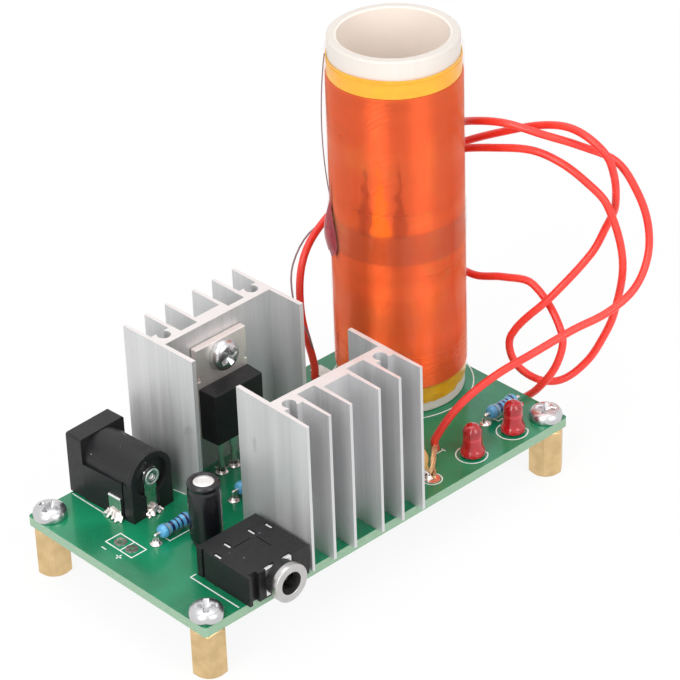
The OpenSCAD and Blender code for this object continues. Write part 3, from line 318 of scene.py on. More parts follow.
def tube_mesh(name, path, radius, sides=8, end_share=1.0):
    """A tube along a path in millimetres; it narrows to end_share of its radius at the far end."""
    bm = bmesh.new()
    points = [vec(*p) for p in path]
    side = Vector((0.3, 0.5, 0.81)).normalized()
    rings = []
    for i, point in enumerate(points):
        along = (points[min(i + 1, len(points) - 1)] - points[max(i - 1, 0)]).normalized()
        side = (side - along * side.dot(along)).normalized()
        other = along.cross(side)
        reach = radius * MM * (1 + (end_share - 1) * i / (len(points) - 1))
        rings.append([
            bm.verts.new(
                point
                + side * reach * math.cos(2 * math.pi * k / sides)
                + other * reach * math.sin(2 * math.pi * k / sides)
            )
            for k in range(sides)
        ])
    skin(bm, rings)
    bm.faces.new(list(reversed(rings[0])))
    bm.faces.new(rings[-1])
    return smooth(to_mesh(outward(bm), name), math.radians(50))


class Recipe:
    """A Geometry Nodes tree in the making, with named inputs for its sizes."""

    KINDS = {float: "NodeSocketFloat", int: "NodeSocketInt"}

    def __init__(self, name, **sizes):
        self.tree = bpy.data.node_groups.new(name, "GeometryNodeTree")
        self.tree.is_modifier = True
        sockets = self.tree.interface
        sockets.new_socket("Geometry", in_out="INPUT", socket_type="NodeSocketGeometry")
        self.names = {}
        for label, value in sizes.items():
            kind = self.KINDS.get(type(value), "NodeSocketObject")
            socket = sockets.new_socket(label, in_out="INPUT", socket_type=kind)
            self.names[label] = (socket.identifier, value)
        socket = sockets.new_socket("finish", in_out="INPUT", socket_type="NodeSocketMaterial")
        self.finish_name = socket.identifier
        sockets.new_socket("Geometry", in_out="OUTPUT", socket_type="NodeSocketGeometry")
        self.given = self.tree.nodes.new("NodeGroupInput").outputs

    def node(self, kind, inputs=(), **settings):
        """A node of this tree."""
        return add_node(self.tree, kind, inputs, **settings)

    def ends(self, geometry):
        """Closes the tree: instances made real, then the finish."""
        real = self.node("GeometryNodeRealizeInstances", {"Geometry": geometry})
        coated = self.node("GeometryNodeSetMaterial", {
            "Geometry": real.outputs[0], "Material": self.given["finish"],
        })
        output = self.tree.nodes.new("NodeGroupOutput")
        self.tree.links.new(coated.outputs[0], output.inputs[0])
        return self

    def grown(self, base, finish):
        """The plain mesh that the tree grows from a base mesh."""
        seed = loose_object(self.tree.name, base)
        modifier = seed.modifiers.new(self.tree.name, "NODES")
        modifier.node_group = self.tree
        for identifier, value in self.names.values():
            modifier[identifier] = value
        modifier[self.finish_name] = finish
        return applied(seed)


def repeated(name, pattern, places, finish):
    """One small mesh set at every place, a list of matrices."""
    base = bpy.data.meshes.new(name)
    base.from_pydata([place.translation for place in places], [], [])
    turns = base.attributes.new("turn", "FLOAT_VECTOR", "POINT")
    for item, place in zip(turns.data, places):
        item.vector = place.to_euler()
    pattern_object = loose_object(name + "_pattern", pattern)
    recipe = Recipe(name, pattern=pattern_object, size=1.0)
    turn = recipe.node(
        "GeometryNodeInputNamedAttribute", {"Name": "turn"}, data_type="FLOAT_VECTOR"
    )
    euler = recipe.node("FunctionNodeEulerToRotation", {0: turn.outputs["Attribute"]})
    shape = recipe.node("GeometryNodeObjectInfo", {"Object": recipe.given["pattern"]})
    points = recipe.node("GeometryNodeMeshToPoints", {"Mesh": recipe.given["Geometry"]})
    copies = recipe.node("GeometryNodeInstanceOnPoints", {
        "Points": points.outputs[0], "Instance": shape.outputs["Geometry"],
        "Rotation": euler.outputs[0], "Scale": recipe.given["size"],
    })
    mesh = recipe.ends(copies.outputs[0]).grown(base, finish)
    bpy.data.objects.remove(pattern_object)
    return mesh


# Finishes


class Finish:
    """A material in the making: a Principled shader and short calls that add its pattern nodes."""

    def __init__(self, name, color, roughness, metallic=0.0, **sockets):
        self.material = bpy.data.materials.new(name)
        self.material.use_nodes = True
        self.tree = self.material.node_tree
        self.tree.nodes.clear()
        self.shader = self.node("ShaderNodeBsdfPrincipled")
        self.node("ShaderNodeOutputMaterial", {"Surface": self.shader.outputs[0]})
        self.set("Base Color", color)
        self.set("Roughness", roughness)
        self.set("Metallic", metallic)
        for socket, value in sockets.items():
            self.set(socket.replace("_", " "), value)
        self.place = self.tree.nodes.new("ShaderNodeTexCoord").outputs["Object"]
        self.normal = None

    def set(self, socket, value):
        """Gives a shader socket a constant, or links a pattern to it."""
        target = self.shader.inputs[socket]
        if isinstance(value, bpy.types.NodeSocket):
            self.tree.links.new(value, target)
        elif isinstance(value, tuple) and len(value) == 3 and target.type == "RGBA":
            target.default_value = (*value, 1)
        else:
            target.default_value = value
        return self

    def node(self, kind, inputs=(), **settings):
        """A node of this material."""
        return add_node(self.tree, kind, inputs, **settings)

    def spot(self, size=1, stretch=(1, 1, 1)):
        """Object coordinates with size millimetres as their unit, stretched."""
        scale = [s / size / MM for s in stretch]
        return self.node("ShaderNodeMapping", {0: self.place, "Scale": scale}).outputs[0]

    def noise(self, size, stretch=(1, 1, 1), detail=3.0, roughness=0.55, distortion=0.0):
        """Noise whose features are about size millimetres across."""
        made = self.node("ShaderNodeTexNoise", {
            "Vector": self.spot(size, stretch), "Scale": 1.0, "Detail": detail,
            "Roughness": roughness, "Distortion": distortion,
        })
        return made.outputs["Fac"]

    def cells(self, size):
        """How far the nearest of many points is; they lie about size millimetres apart."""
        made = self.node("ShaderNodeTexVoronoi", {"Vector": self.spot(size), "Scale": 1.0})
        return made.outputs["Distance"]

    def spread(self, value, low, high, start=0.0, end=1.0):
        """Value from low..high mapped to start..end, held at the ends."""
        made = self.node("ShaderNodeMapRange", {
            "Value": value, "From Min": low, "From Max": high, "To Min": start, "To Max": end,
        })
        return made.outputs[0]

    def cloud(self, size, stretch=(1, 1, 1), low=0.3, high=0.7, start=0.0, end=1.0, **noise):
        """Soft patches about size millimetres across, as a value from start to end."""
        return self.spread(self.noise(size, stretch, **noise), low, high, start, end)

    def math(self, operation, a, b=0.0):
        """One step of arithmetic on patterns; the four below are its common ones."""
        return self.node("ShaderNodeMath", {0: a, 1: b}, operation=operation).outputs[0]

    def times(self, a, b):
        return self.math("MULTIPLY", a, b)

    def minus(self, a, b):
        return self.math("SUBTRACT", a, b)

    def plus(self, a, b):
        return self.math("ADD", a, b)

    def unsigned(self, a):
        return self.math("ABSOLUTE", a)

    def from_axis(self, centre):
        """The X and Y distances of the surface point from an upright axis, in millimetres."""
        return [self.minus(self.axis(i), centre[i]) for i in (0, 1)]

    def angle_round(self, centre):
        """The angle of the surface point round an upright axis, in radians."""
        x, y = self.from_axis(centre)
        return self.math("ARCTAN2", y, x)

    def painted(self, share, first, second):
        """Sets the colour: the first where share is 0, the second where it is 1."""
        return self.set("Base Color", self.blend(share, first, second))

    def blend(self, share, first, second):
        """The first colour where share is 0 and the second where it is 1."""
        first, second = [(*c, 1) if isinstance(c, tuple) else c for c in (first, second)]
        made = self.node("ShaderNodeMix", {0: share, 6: first, 7: second}, data_type="RGBA")
        return made.outputs[2]

    def axis(self, index):
        """The X, Y or Z coordinate of the surface point, in millimetres."""
        return self.node("ShaderNodeSeparateXYZ", {0: self.spot()}).outputs[index]

    def band(self, value, low, high, soft=0.04):
        """1 where the value lies between low and high, 0 elsewhere, with soft edges."""
        rise = self.spread(value, low - soft, low + soft)
        fall = self.spread(value, high - soft, high + soft, 1, 0)
        return self.times(rise, fall)

    def facing(self, index):
        """The X, Y or Z part of the surface's own normal."""
        normal = self.node("ShaderNodeNewGeometry").outputs["True Normal"]
        return self.node("ShaderNodeSeparateXYZ", {0: normal}).outputs[index]

    def bump(self, height, depth, strength=1.0):
        """Relief of depth millimetres on top of any relief so far."""
        inputs = {"Height": height, "Strength": strength, "Distance": depth * MM}
        made = self.node("ShaderNodeBump", inputs)
        if self.normal is not None:
            self.tree.links.new(self.normal, made.inputs["Normal"])
        self.normal = made.outputs[0]
        self.set("Normal", self.normal)
        return self


def board_finish():
    """Glossy solder mask: paler over copper, darker in the gaps, on a pale laminate edge."""
    finish = Finish("green_solder_mask", (0.012, 0.21, 0.10), 0.24, Coat_Weight=0.3)
    finish.shader.inputs["Coat Roughness"].default_value = 0.06
    cloud = finish.cloud(11, detail=1, low=0.42, high=0.58)
    mask = finish.blend(cloud, (0.003, 0.180, 0.075), (0.006, 0.250, 0.110))
    weave = finish.cloud(0.35, (1, 0.3, 1), detail=1, start=0, end=0.25)
    mask = finish.blend(weave, mask, (0.012, 0.28, 0.13))
    side = finish.spread(finish.unsigned(finish.facing(2)), 0.45, 0.55, 1, 0)
    fibre = finish.cloud(0.25, (0.2, 0.2, 3))
    edge = finish.blend(fibre, (0.20, 0.36, 0.23), (0.30, 0.47, 0.32))
    finish.painted(side, mask, edge)
    finish.set("Roughness", finish.cloud(0.4, start=0.18, end=0.28))
    return finish.bump(finish.noise(1.6, detail=2), 0.012, 0.4).material


def print_finish():
    """White print: thin in places, so a little green shows through."""
    finish = Finish("white_print", (0.86, 0.90, 0.87), 0.55)
    thin = finish.cloud(0.35, low=0.35, high=0.55)
    finish.painted(thin, (0.66, 0.78, 0.71), (0.90, 0.92, 0.90))
    return finish.bump(finish.noise(0.2), 0.005, 0.5).material


def brass_finish():
    """Drawn hexagonal brass: fine lines along its height and a browner haze."""
    finish = Finish("drawn_brass", (0.77, 0.58, 0.30), 0.3, 1.0)
    fine = finish.noise(0.35, (1, 1, 0.12), detail=4)
    haze = finish.cloud(2.2)
    finish.painted(haze, (0.78, 0.56, 0.30), (0.62, 0.44, 0.22))
    finish.set("Roughness", finish.spread(fine, 0.3, 0.7, 0.28, 0.45))
    return finish.bump(fine, 0.01, 0.5).material


def plated_finish(name, color, rough, dent=0.006):
    """Bright plating with a slight unevenness."""
    finish = Finish(name, color, rough, 1.0)
    haze = finish.cloud(1.3, detail=1)
    finish.set("Roughness", finish.spread(haze, 0, 1, rough * 0.9, rough * 1.2))
    dull = tuple(c * 0.90 for c in color)
    finish.painted(haze, color, dull)
    return finish.bump(finish.noise(1.5, detail=0), dent, 0.25).material


def sink_finish():
    """Extruded aluminium: soft streaks up its height, a few dark scuffs and paler sawn ends."""
    finish = Finish("extruded_aluminium", (0.62, 0.62, 0.63), 0.5, 0.68)
    streak = finish.noise(0.25, (1, 1, 0.010), detail=3, roughness=0.55)
    broad = finish.noise(2.4, (1, 1, 0.05), detail=2)
    tone = finish.blend(finish.spread(streak, 0.3, 0.7), (0.59, 0.59, 0.595), (0.67, 0.67, 0.675))
    tone = finish.blend(finish.spread(broad, 0.35, 0.65, 0, 0.5), tone, (0.73, 0.73, 0.74))
    scuff = finish.cloud(3.5, (1, 1, 0.6), detail=5, low=0.66, high=0.80, start=0, end=0.5)
    tone = finish.blend(scuff, tone, (0.30, 0.30, 0.31))
    top = finish.spread(finish.facing(2), 0.3, 0.6)
    grain = finish.noise(0.5, (0.35, 3, 1))
    sawn = finish.blend(grain, (0.74, 0.70, 0.69), (0.84, 0.80, 0.79))
    finish.painted(top, tone, sawn)
    finish.set("Roughness", finish.spread(broad, 0.3, 0.7, 0.44, 0.58))
    return finish.bump(streak, 0.0025, 0.4).bump(finish.noise(0.15), 0.003, 0.4).material


def moulded_finish(name, color, rough, dust=0.0):
    """A dark moulding with the fine grain of its mould, and a little dust where wanted."""
    finish = Finish(name, color, rough, Specular_IOR_Level=0.35)
    speck = finish.noise(0.22, detail=3)
    pale = tuple(min(1, c * 1.8 + 0.004) for c in color)
    tone = finish.blend(finish.spread(speck, 0.35, 0.75), color, pale)
    if dust:
        fleck = finish.spread(finish.cells(2.3), 0.02 * dust, 0.035 * dust, 1, 0)
        tone = finish.blend(fleck, tone, (0.75, 0.75, 0.75))
    finish.set("Base Color", tone)
    finish.set("Roughness", finish.cloud(1.4, start=rough * 0.85, end=rough * 1.15))
    return finish.bump(speck, 0.02, 0.5).material


def wire_finish():
    """Red insulation with a soft gloss."""
    finish = Finish("red_insulation", (0.88, 0.042, 0.030), 0.36, Coat_Weight=0.12)
    cloud = finish.cloud(3.0, detail=2)
    finish.painted(cloud, (0.83, 0.034, 0.024), (0.93, 0.055, 0.034))
    return finish.bump(finish.noise(0.5), 0.01, 0.4).material


def simple_finish(name, color, rough, metallic=0.0, size=1.0, contrast=0.12, depth=0.01):
    """A finish whose colour and gloss vary a little over size millimetres."""
    finish = Finish(name, color, rough, metallic)
    dark = tuple(c * (1 - contrast) for c in color)
    light = tuple(min(1, c * (1 + contrast)) for c in color)
    cloud = finish.cloud(size)
    finish.painted(cloud, dark, light)
    finish.set("Roughness", finish.cloud(size * 0.6, start=rough * 0.85, end=rough * 1.2))
    return finish.bump(finish.noise(size * 0.5), depth, 0.5).material


def plate_finish():
    """Nickel plate: warm grey faces and pinkish, brighter sheared edges."""
    finish = Finish("sheared_nickel", (0.80, 0.77, 0.74), 0.4, 0.75)
    face = finish.spread(finish.unsigned(finish.facing(1)), 0.5, 0.8)
    warm = finish.blend(finish.cloud(1.5), (0.84, 0.79, 0.75), (0.92, 0.88, 0.84))
    finish.painted(face, (0.92, 0.82, 0.78), warm)
    return finish.bump(finish.noise(0.3), 0.006, 0.5).material


def sleeve_finish():
    """Glossy shrink sleeve with a pale stripe down the side of the negative lead."""
    finish = Finish("glossy_sleeve", (0.006, 0.006, 0.008), 0.26, Coat_Weight=0.1)
    angle = finish.angle_round(CAN_PLACE)
    stripe = finish.band(angle, math.radians(-64), math.radians(-40), 0.02)
    dash_spacing = 2.6
    up_dash = finish.math("MODULO", finish.axis(2), dash_spacing)
    dash = finish.times(finish.band(up_dash, 0.5, 1.9), finish.band(angle, -0.98, -0.86, 0.01))
    pale = finish.times(stripe, finish.minus(1.0, dash))
    pale = finish.times(pale, finish.cloud(0.25, low=0.35, high=0.6, start=0.35, end=1))
    below_curl = finish.spread(finish.axis(2), BOARD_TOP + 9.5, BOARD_TOP + 9.8, 1, 0)
    finish.painted(finish.times(pale, below_curl), (0.006, 0.006, 0.008), (0.30, 0.30, 0.32))
    return finish.bump(finish.noise(1.1, detail=2), 0.02, 0.4).material


def resistor_finish(name, centre, wide, thin, last):
    """Pale blue lacquer with five bands across it; the places are millimetres from its middle."""
    finish = Finish(name, (0.10, 0.42, 0.75), 0.24, Coat_Weight=0.4)
    cloud = finish.cloud(1.2)
    tone = finish.blend(cloud, (0.085, 0.37, 0.68), (0.15, 0.50, 0.80))
    along = finish.minus(finish.axis(0), centre)
    bands = [
        (-1.95, -1.77, (0.05, 0.12, 0.22)), (-1.70, -1.35, (0.25, 0.35, 0.36)),
        (-1.02, -0.45, wide), (0.05, 0.35, thin), (0.80, 1.12, thin), (1.62, 1.98, last),
    ]
    for low, high, color in bands:
        tone = finish.blend(finish.band(along, low, high, 0.03), tone, color)
    finish.set("Base Color", tone)
    return finish.bump(finish.noise(0.7), 0.012, 0.5).material


def winding_finish():
    """Enamelled copper wire: orange, in faint rings, and darker where the two films overlap.

    Under three leaf-shaped film creases it carries painted shade on two and a painted highlight on
    the middle one; two patches of glue show as tones.
    """
    finish = Finish("copper_enamel", (0.86, 0.15, 0.035), 0.3, 0.9)
    ring = finish.noise(2.6, (0.03, 0.03, 1), detail=1)
    tone = finish.blend(finish.spread(ring, 0.3, 0.7), (0.82, 0.138, 0.032), (0.88, 0.158, 0.038))
    angle, height = finish.angle_round(COIL_FOOT), finish.axis(2)
    seam = finish.band(height, UPPER_FILM_ENDS[0] - 0.05, LOWER_FILM_ENDS[1] + 0.05, 0.12)
    tone = finish.blend(finish.times(seam, 0.3), tone, (0.76, 0.10, 0.028))
    leaf_foot, leaf_tip = 42.5, 53.8
    narrowing = finish.spread(height, leaf_foot, leaf_tip, 1, 0)
    within = finish.band(height, 41.4, leaf_tip, 0.3)
    torn = finish.cloud(1.0, (1, 1, 0.5), detail=4, low=0.25, high=0.75, start=-0.09, end=0.09)
    # Painted shade on the creases at -161 and -132 degrees, a painted highlight on the one at -148.
    for middle, half, share, color in (
        (-161, 8, 0.6, (0.50, 0.055, 0.018)),
        (-132, 7, 0.6, (0.52, 0.060, 0.020)),
        (-148, 9, 0.8, (1.0, 0.20, 0.012)),
    ):
        aside = finish.unsigned(finish.minus(angle, math.radians(middle)))
        reach = finish.plus(finish.times(narrowing, math.radians(half)), torn)
        inside = finish.spread(finish.minus(aside, reach), -0.03, 0.02, 1, 0)
        leaf = finish.times(inside, within)
        tone = finish.blend(finish.times(leaf, share), tone, color)
    swirl = finish.cloud(1.1, (1, 1, 0.8), detail=3, distortion=1.5, low=0.52, high=0.62)
    above_seam = finish.times(
        finish.band(height, 42.6, 45.6, 0.6), finish.band(angle, -2.15, -1.75, 0.1)
    )
    below_seam = finish.times(
        finish.band(height, 33.0, 37.0, 0.8), finish.band(angle, -1.9, -1.2, 0.2)
    )
    glue = finish.times(swirl, finish.plus(above_seam, below_seam))
    finish.painted(finish.times(glue, 0.5), tone, (0.62, 0.26, 0.04))
    finish.set("Roughness", finish.spread(ring, 0.3, 0.7, 0.27, 0.31))
    return finish.material


def tape_finish(name, color, deep):
    """Glossy yellow tape with glue clouds and small creases."""
    finish = Finish(name, color, 0.28, Coat_Weight=0.3)
    cloud = finish.cloud(1.6, (1, 1, 1.6), detail=3, low=0.35, high=0.65)
    finish.painted(cloud, color, deep)
    return finish.bump(finish.noise(1.2, (1, 1, 1.5)), 0.04, 0.5).material


def tube_finish():
    """Cream plastic tube with faint lines from its drawing; its bore is a warmer tone."""
    finish = Finish("cream_tube", (0.82, 0.765, 0.71), 0.42)
    line = finish.noise(0.8, (1, 1, 0.05), detail=2)
    tone = finish.blend(finish.spread(line, 0.3, 0.7), (0.735, 0.675, 0.615), (0.755, 0.70, 0.645))
    x, y = finish.from_axis(COIL_FOOT)
    square = finish.plus(finish.times(x, x), finish.times(y, y))
    inside = finish.spread(square, 8.6 ** 2, 8.8 ** 2, 1, 0)
    finish.painted(inside, tone, (0.95, 0.855, 0.775))
    return finish.bump(finish.noise(0.6), 0.01, 0.4).material


def film_finish():
    """Clear film: what lies under it shows, and it adds a sharp gloss of its own."""
    finish = Finish("clear_film", (0.80, 0.16, 0.06), 0.1, Alpha=0.06, IOR=2.2)
    glue = finish.cloud(4.5, (1, 1, 0.8), detail=4, low=0.55, high=0.75)
    finish.painted(glue, (0.70, 0.12, 0.04), (0.90, 0.45, 0.08))
    finish.set("Roughness", finish.cloud(2.0, start=0.06, end=0.2))
    return finish.bump(finish.noise(3.0, (1, 1, 0.35), detail=3), 0.12, 0.5).material


def lens_finish():
    """Clear red moulding, deep in colour, with a wet gloss, a band of painted shade under the dome
    and a band of painted highlight at the height of the cup inside.
    """
    finish = Finish(
        "red_lens", (0.72, 0.006, 0.020), 0.06, Transmission_Weight=0.42, IOR=1.45, Coat_Weight=0.8
    )
    finish.set("Roughness", finish.cloud(1.2, start=0.04, end=0.1))
    cloud = finish.cloud(1.5)
    tone = finish.blend(cloud, (0.64, 0.004, 0.014), (0.76, 0.007, 0.020))
    # Painted shade: a darker band under the dome.
    deep = finish.band(finish.axis(2), BOARD_TOP + 3.7, BOARD_TOP + 5.0, 0.25)
    tone = finish.blend(finish.times(deep, 0.6), tone, (0.42, 0.003, 0.010))
    # Painted highlight: a bright band at the height of the cup inside, standing in for its
    # reflection.
    rim = finish.band(finish.axis(2), BOARD_TOP + 3.05, BOARD_TOP + 3.5, 0.12)
    tone = finish.blend(finish.times(rim, 0.6), tone, (1.0, 0.06, 0.08))
    finish.set("Base Color", tone)
    return finish.material


MASK = board_finish()
PRINT = print_finish()
BRASS = brass_finish()
CHROME = plated_finish("bright_nickel", (0.64, 0.64, 0.65), 0.27, 0.002)
CONTACT = plated_finish("tin_plate", (0.74, 0.73, 0.70), 0.27, 0.001)
SILVER = plated_finish("satin_silver", (0.60, 0.59, 0.58), 0.3, 0.001)
LEG_TIP = plated_finish("white_tin", (0.92, 0.92, 0.92), 0.4)
ALUMINIUM = sink_finish()
EPOXY = moulded_finish("matt_epoxy", (0.009, 0.009, 0.010), 0.5)
JACK_PLASTIC = moulded_finish("grained_black_plastic", (0.008, 0.008, 0.009), 0.44, dust=1.0)
SLEEVE = sleeve_finish()
CAN = plated_finish("soft_aluminium", (0.96, 0.94, 0.93), 0.45, 0.003)
RED = wire_finish()
TUBE = tube_finish()
ENAMEL = winding_finish()
LEAD_ENAMEL = simple_finish("dark_enamel", (0.26, 0.16, 0.18), 0.35, size=1)
FILM = film_finish()
PLEAT = simple_finish("folded_film", (0.33, 0.04, 0.055), 0.15, size=1.5, contrast=0.3, depth=0.03)
TAPE = tape_finish("yellow_tape", (0.95, 0.53, 0.010), (0.90, 0.44, 0.006))
TAPE_DEEP = tape_finish("mustard_tape", (0.80, 0.42, 0.008), (0.68, 0.31, 0.006))
TINNED = plated_finish("tinned_wire", (0.76, 0.74, 0.72), 0.28, 0.003)
TAB = plate_finish()
PAD = simple_finish("grey_silicone", (0.30, 0.29, 0.28), 0.6)
SOLDER = simple_finish("rough_solder", (0.84, 0.77, 0.74), 0.24, 1.0, size=0.6, contrast=0.10)
DISC = simple_finish("tan_dip", (0.62, 0.34, 0.11), 0.35, size=1.2)
LENS = lens_finish()
LEADFRAME = simple_finish("lamp_leadframe", (0.50, 0.05, 0.05), 0.35, 0.6, size=0.6)
RUBBER = simple_finish("black_rubber", (0.02, 0.02, 0.02), 0.7)
COPPER = simple_finish("bare_copper", (0.72, 0.46, 0.24), 0.34, 0.7, size=0.5, contrast=0.2)


# Wires


def route_curve(name, route, diameter, finish, node):
    """A wire along its route: a smooth curve through the points that the part's source gives."""
    data = bpy.data.curves.new(name, "CURVE")
    data.dimensions = "3D"
    data.resolution_u = 6
    data.bevel_depth = diameter / 2 * MM
    data.bevel_resolution = 4
    data.use_fill_caps = True
    spline = data.splines.new("BEZIER")
    spline.bezier_points.add(len(route) - 1)
    for i, point in enumerate(route):
        knot = spline.bezier_points[i]
        knot.co = vec(*point)
        before, after = route[max(i - 1, 0)], route[min(i + 1, len(route) - 1)]
        along = (vec(*after) - vec(*before)).normalized()
        knot.handle_left_type = knot.handle_right_type = "FREE"
        knot.handle_left = knot.co - along * (vec(*point) - vec(*before)).length / 3
        knot.handle_right = knot.co + along * (vec(*after) - vec(*point)).length / 3
    data.materials.append(finish)
    wire = bpy.data.objects.new(name, data)
    bpy.context.scene.collection.objects.link(wire)
    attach(wire, "root")
    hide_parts(node)
    return wire


def route_length(route):
    """The length of a route in metres, from point to point."""
    points = [vec(*p) for p in route]
    return sum((b - a).length for a, b in zip(points, points[1:]))


def bare_end():
    """The red wire's stripped end: twisted strands, bent over to their pad by the board's edge."""
    count, steps = 4, 12
    start = Vector((WIRE_END[0], WIRE_END[1], BOARD_TOP + 0.75))
    pad = Vector((11.2, -16.5, BOARD_TOP + 0.25))
    strands = []
    for k in range(count):
        path = []
        for i in range(steps + 1):
            share = i / steps
            middle = start.lerp(pad, share)
            middle.z += 0.9 * math.sin(math.pi * min(1, share * 1.1)) * (1 - share)
            turn = 2 * math.pi * (k / count + 0.9 * share)
            spread = 0.24 * (1 + 1.4 * max(0, share - 0.75) * 4)
            path.append((
                middle.x + spread * 0.66 * math.cos(turn),
                middle.y - spread * 0.75 * math.cos(turn),
                max(middle.z + 0.24 * math.sin(turn), BOARD_TOP + 0.2),
            ))
        strands.append(tube_mesh("strand", path, 0.2, 7))
    return add_piece("bare_strands", joined("bare_strands", strands), COPPER)


strands = bare_end()
red_wire = route_curve("red_wire", WIRE_PATH, WIRE_DIAMETER, RED, "primary_wire")
vec(*WIRE_PATH[0])
route_length(WIRE_PATH)
fine_lead = route_curve(
    "fine_lead", FINE_PATH, FINE_DIAMETER, LEAD_ENAMEL, "secondary_lead"
)
vec(*FINE_PATH[0])
route_length(FINE_PATH)


# Coil: fine wire, films, tapes


def winding_piece():
    """The coil's own fine wire, wound turn by turn by a spiral rule."""
    low, high = WINDING_ENDS
    wire, reach = 0.2, 10.29
    recipe = Recipe(
        "wound_wire", turns=(high - low) / wire, radius=reach * MM,
        height=(high - low - wire) * MM, wire_radius=wire / 2 * MM, steps=46,
    )
    spiral = recipe.node("GeometryNodeCurveSpiral", {
        "Resolution": recipe.given["steps"], "Rotations": recipe.given["turns"],
        "Start Radius": recipe.given["radius"], "End Radius": recipe.given["radius"],
        "Height": recipe.given["height"],
    })
    section = recipe.node("GeometryNodeCurvePrimitiveCircle", {
        "Resolution": 5, "Radius": recipe.given["wire_radius"],
    })
    tube = recipe.node("GeometryNodeCurveToMesh", {
        "Curve": spiral.outputs[0], "Profile Curve": section.outputs["Curve"], "Fill Caps": True,
    })
    rounded = recipe.node("GeometryNodeSetShadeSmooth", {"Geometry": tube.outputs[0]})
    mesh = recipe.ends(rounded.outputs[0]).grown(bpy.data.meshes.new("wound_wire"), ENAMEL)
    placed(mesh, Matrix.Translation(vec(COIL_FOOT[0], COIL_FOOT[1], low + wire / 2)))
    bed = turned("wire_bed", [
        (10.03, low), (10.28, low), (10.28, high), (10.03, high),
    ], sides=96, ring=True)
    placed(bed, Matrix.Translation(vec(COIL_FOOT[0], COIL_FOOT[1], 0)))
    whole = joined("winding", [mesh, bed])
    add_piece("wound_winding", whole, ENAMEL, ["winding"])


def wrapped(name, outside, thickness, low, high, sides=120, rows=24):
    """A thin sleeve round the coil; outside, low and high are rules of the angle (and height)."""
    bm = bmesh.new()
    outer, inner = [], []
    for r in range(rows + 1):
        for grid, depth in ((outer, 0.0), (inner, thickness)):
            ring = []
            for k in range(sides):
                angle = 360 * k / sides
                height = low(angle) + (high(angle) - low(angle)) * r / rows
                reach = outside(angle, height) - depth
                ring.append(bm.verts.new(vec(*around_coil(reach, angle, height))))
            grid.append(ring)
    skin(bm, outer + inner[::-1] + outer[:1])
    return smooth(to_mesh(outward(bm), name), math.radians(60))


def angle_gap(a, b):
    """How far angle a is from angle b, from -180 to 180 degrees."""
    return (a - b + 180) % 360 - 180


def ridge(angle, height, at, low, high, width, rise):
    """How far one crease lifts the film at an angle and height."""
    if not low < height < high:
        return 0.0
    share = (height - low) / (high - low)
    across = angle_gap(angle, at) / (width * (1.15 - share))
    return rise * math.exp(-across * across) * math.sin(math.pi * share) ** 0.8


# Creases of the films: angle, lowest and highest point, width in degrees, rise in millimetres
UPPER_CREASES = [
    (197.5, 40.8, 54.8, 4.0, 0.24), (218.0, 41.0, 54.0, 5.0, 0.26), (231.5, 41.5, 55.0, 3.6, 0.24),
    (262.0, 38.5, 46.0, 4.0, 0.16), (206.0, 44.0, 50.0, 2.4, 0.12),
]
LOWER_CREASES = [
    (275.0, 15.5, 31.0, 3.2, 0.22), (262.0, 15.0, 24.0, 5.0, 0.2), (291.0, 16.0, 36.0, 3.0, 0.16),
]


def creased(radius, creases, waviness):
    """The rule of a film's outside: a radius, faint waves and its creases."""
    def outside(angle, height):
        wave = noise.noise(Vector((angle / 17, height / 9, radius))) * waviness
        lift = sum(ridge(angle, height, *crease) for crease in creases)
        return radius + abs(wave) + lift
    return outside


def films():
    """Two wraps of clear film; the upper one laps over the lower, and both have creases."""
    lower = wrapped(
        "lower_film", creased(FILM_INSIDE, LOWER_CREASES, 0.06), 0.03,
        lambda a: LOWER_FILM_ENDS[0],
        lambda a: LOWER_FILM_ENDS[1] + 0.08 * math.sin(math.radians(3 * a)), 180, 60,
    )
    add_piece("lower_film", lower, FILM, ["film_lower"])

    def upper_outside(angle, height):
        step = 0.14 * min(1, max(0, (42.6 - height) / 0.5))
        return creased(FILM_INSIDE, UPPER_CREASES, 0.05)(angle, height) + step

    upper = wrapped(
        "upper_film", upper_outside, 0.03,
        lambda a: UPPER_FILM_ENDS[0] + 0.1 * math.sin(math.radians(2 * a + 40)),
        lambda a: UPPER_FILM_ENDS[1] - 0.06 * math.sin(math.radians(5 * a)), 180, 70,
    )
    add_piece("upper_film", upper, FILM, ["film_upper"])


def pleat():
    """The pleat where the film's end was pressed together: a leaf with two lobes."""
    rows, columns = 22, 10
    low, high = 34.3, 47.8
    middle = 151
    bm = bmesh.new()
    grid = []
    for r in range(rows + 1):
        share = r / rows
        half = 14.5 * (1 - share) ** 0.62 * (0.25 + 0.75 * math.sin(math.pi * min(1, 0.28 + share)))
        line = []
        for c in range(columns + 1):
            v = 2 * c / columns - 1
            lobe = 1.7 * (1 - abs(v) ** 1.5 - 0.9 * math.exp(-(v / 0.25) ** 2)) * (1 - share) ** 3
            height = low + (high - low) * share + 1.7 * (1 - share) ** 3 - max(lobe, 0)
            bulge = 1.0 * math.sin(math.pi * min(1, share * 1.2 + 0.12)) * (1 - v * v)
            line.append(bm.verts.new(vec(*around_coil(10.6 + bulge, middle + v * half, height))))
        grid.append(line)
    skin(bm, grid, closed=False)
    blank = loose_object("film_pleat", to_mesh(bm, "film_pleat"))
    solid = blank.modifiers.new("film", "SOLIDIFY")
    solid.thickness = 0.06 * MM
    mesh = applied(blank)
    bm = bmesh.new()
    bm.from_mesh(mesh)
    mesh = smooth(to_mesh(outward(bm), "film_pleat"), math.radians(60))
    add_piece("film_pleat", mesh, PLEAT)


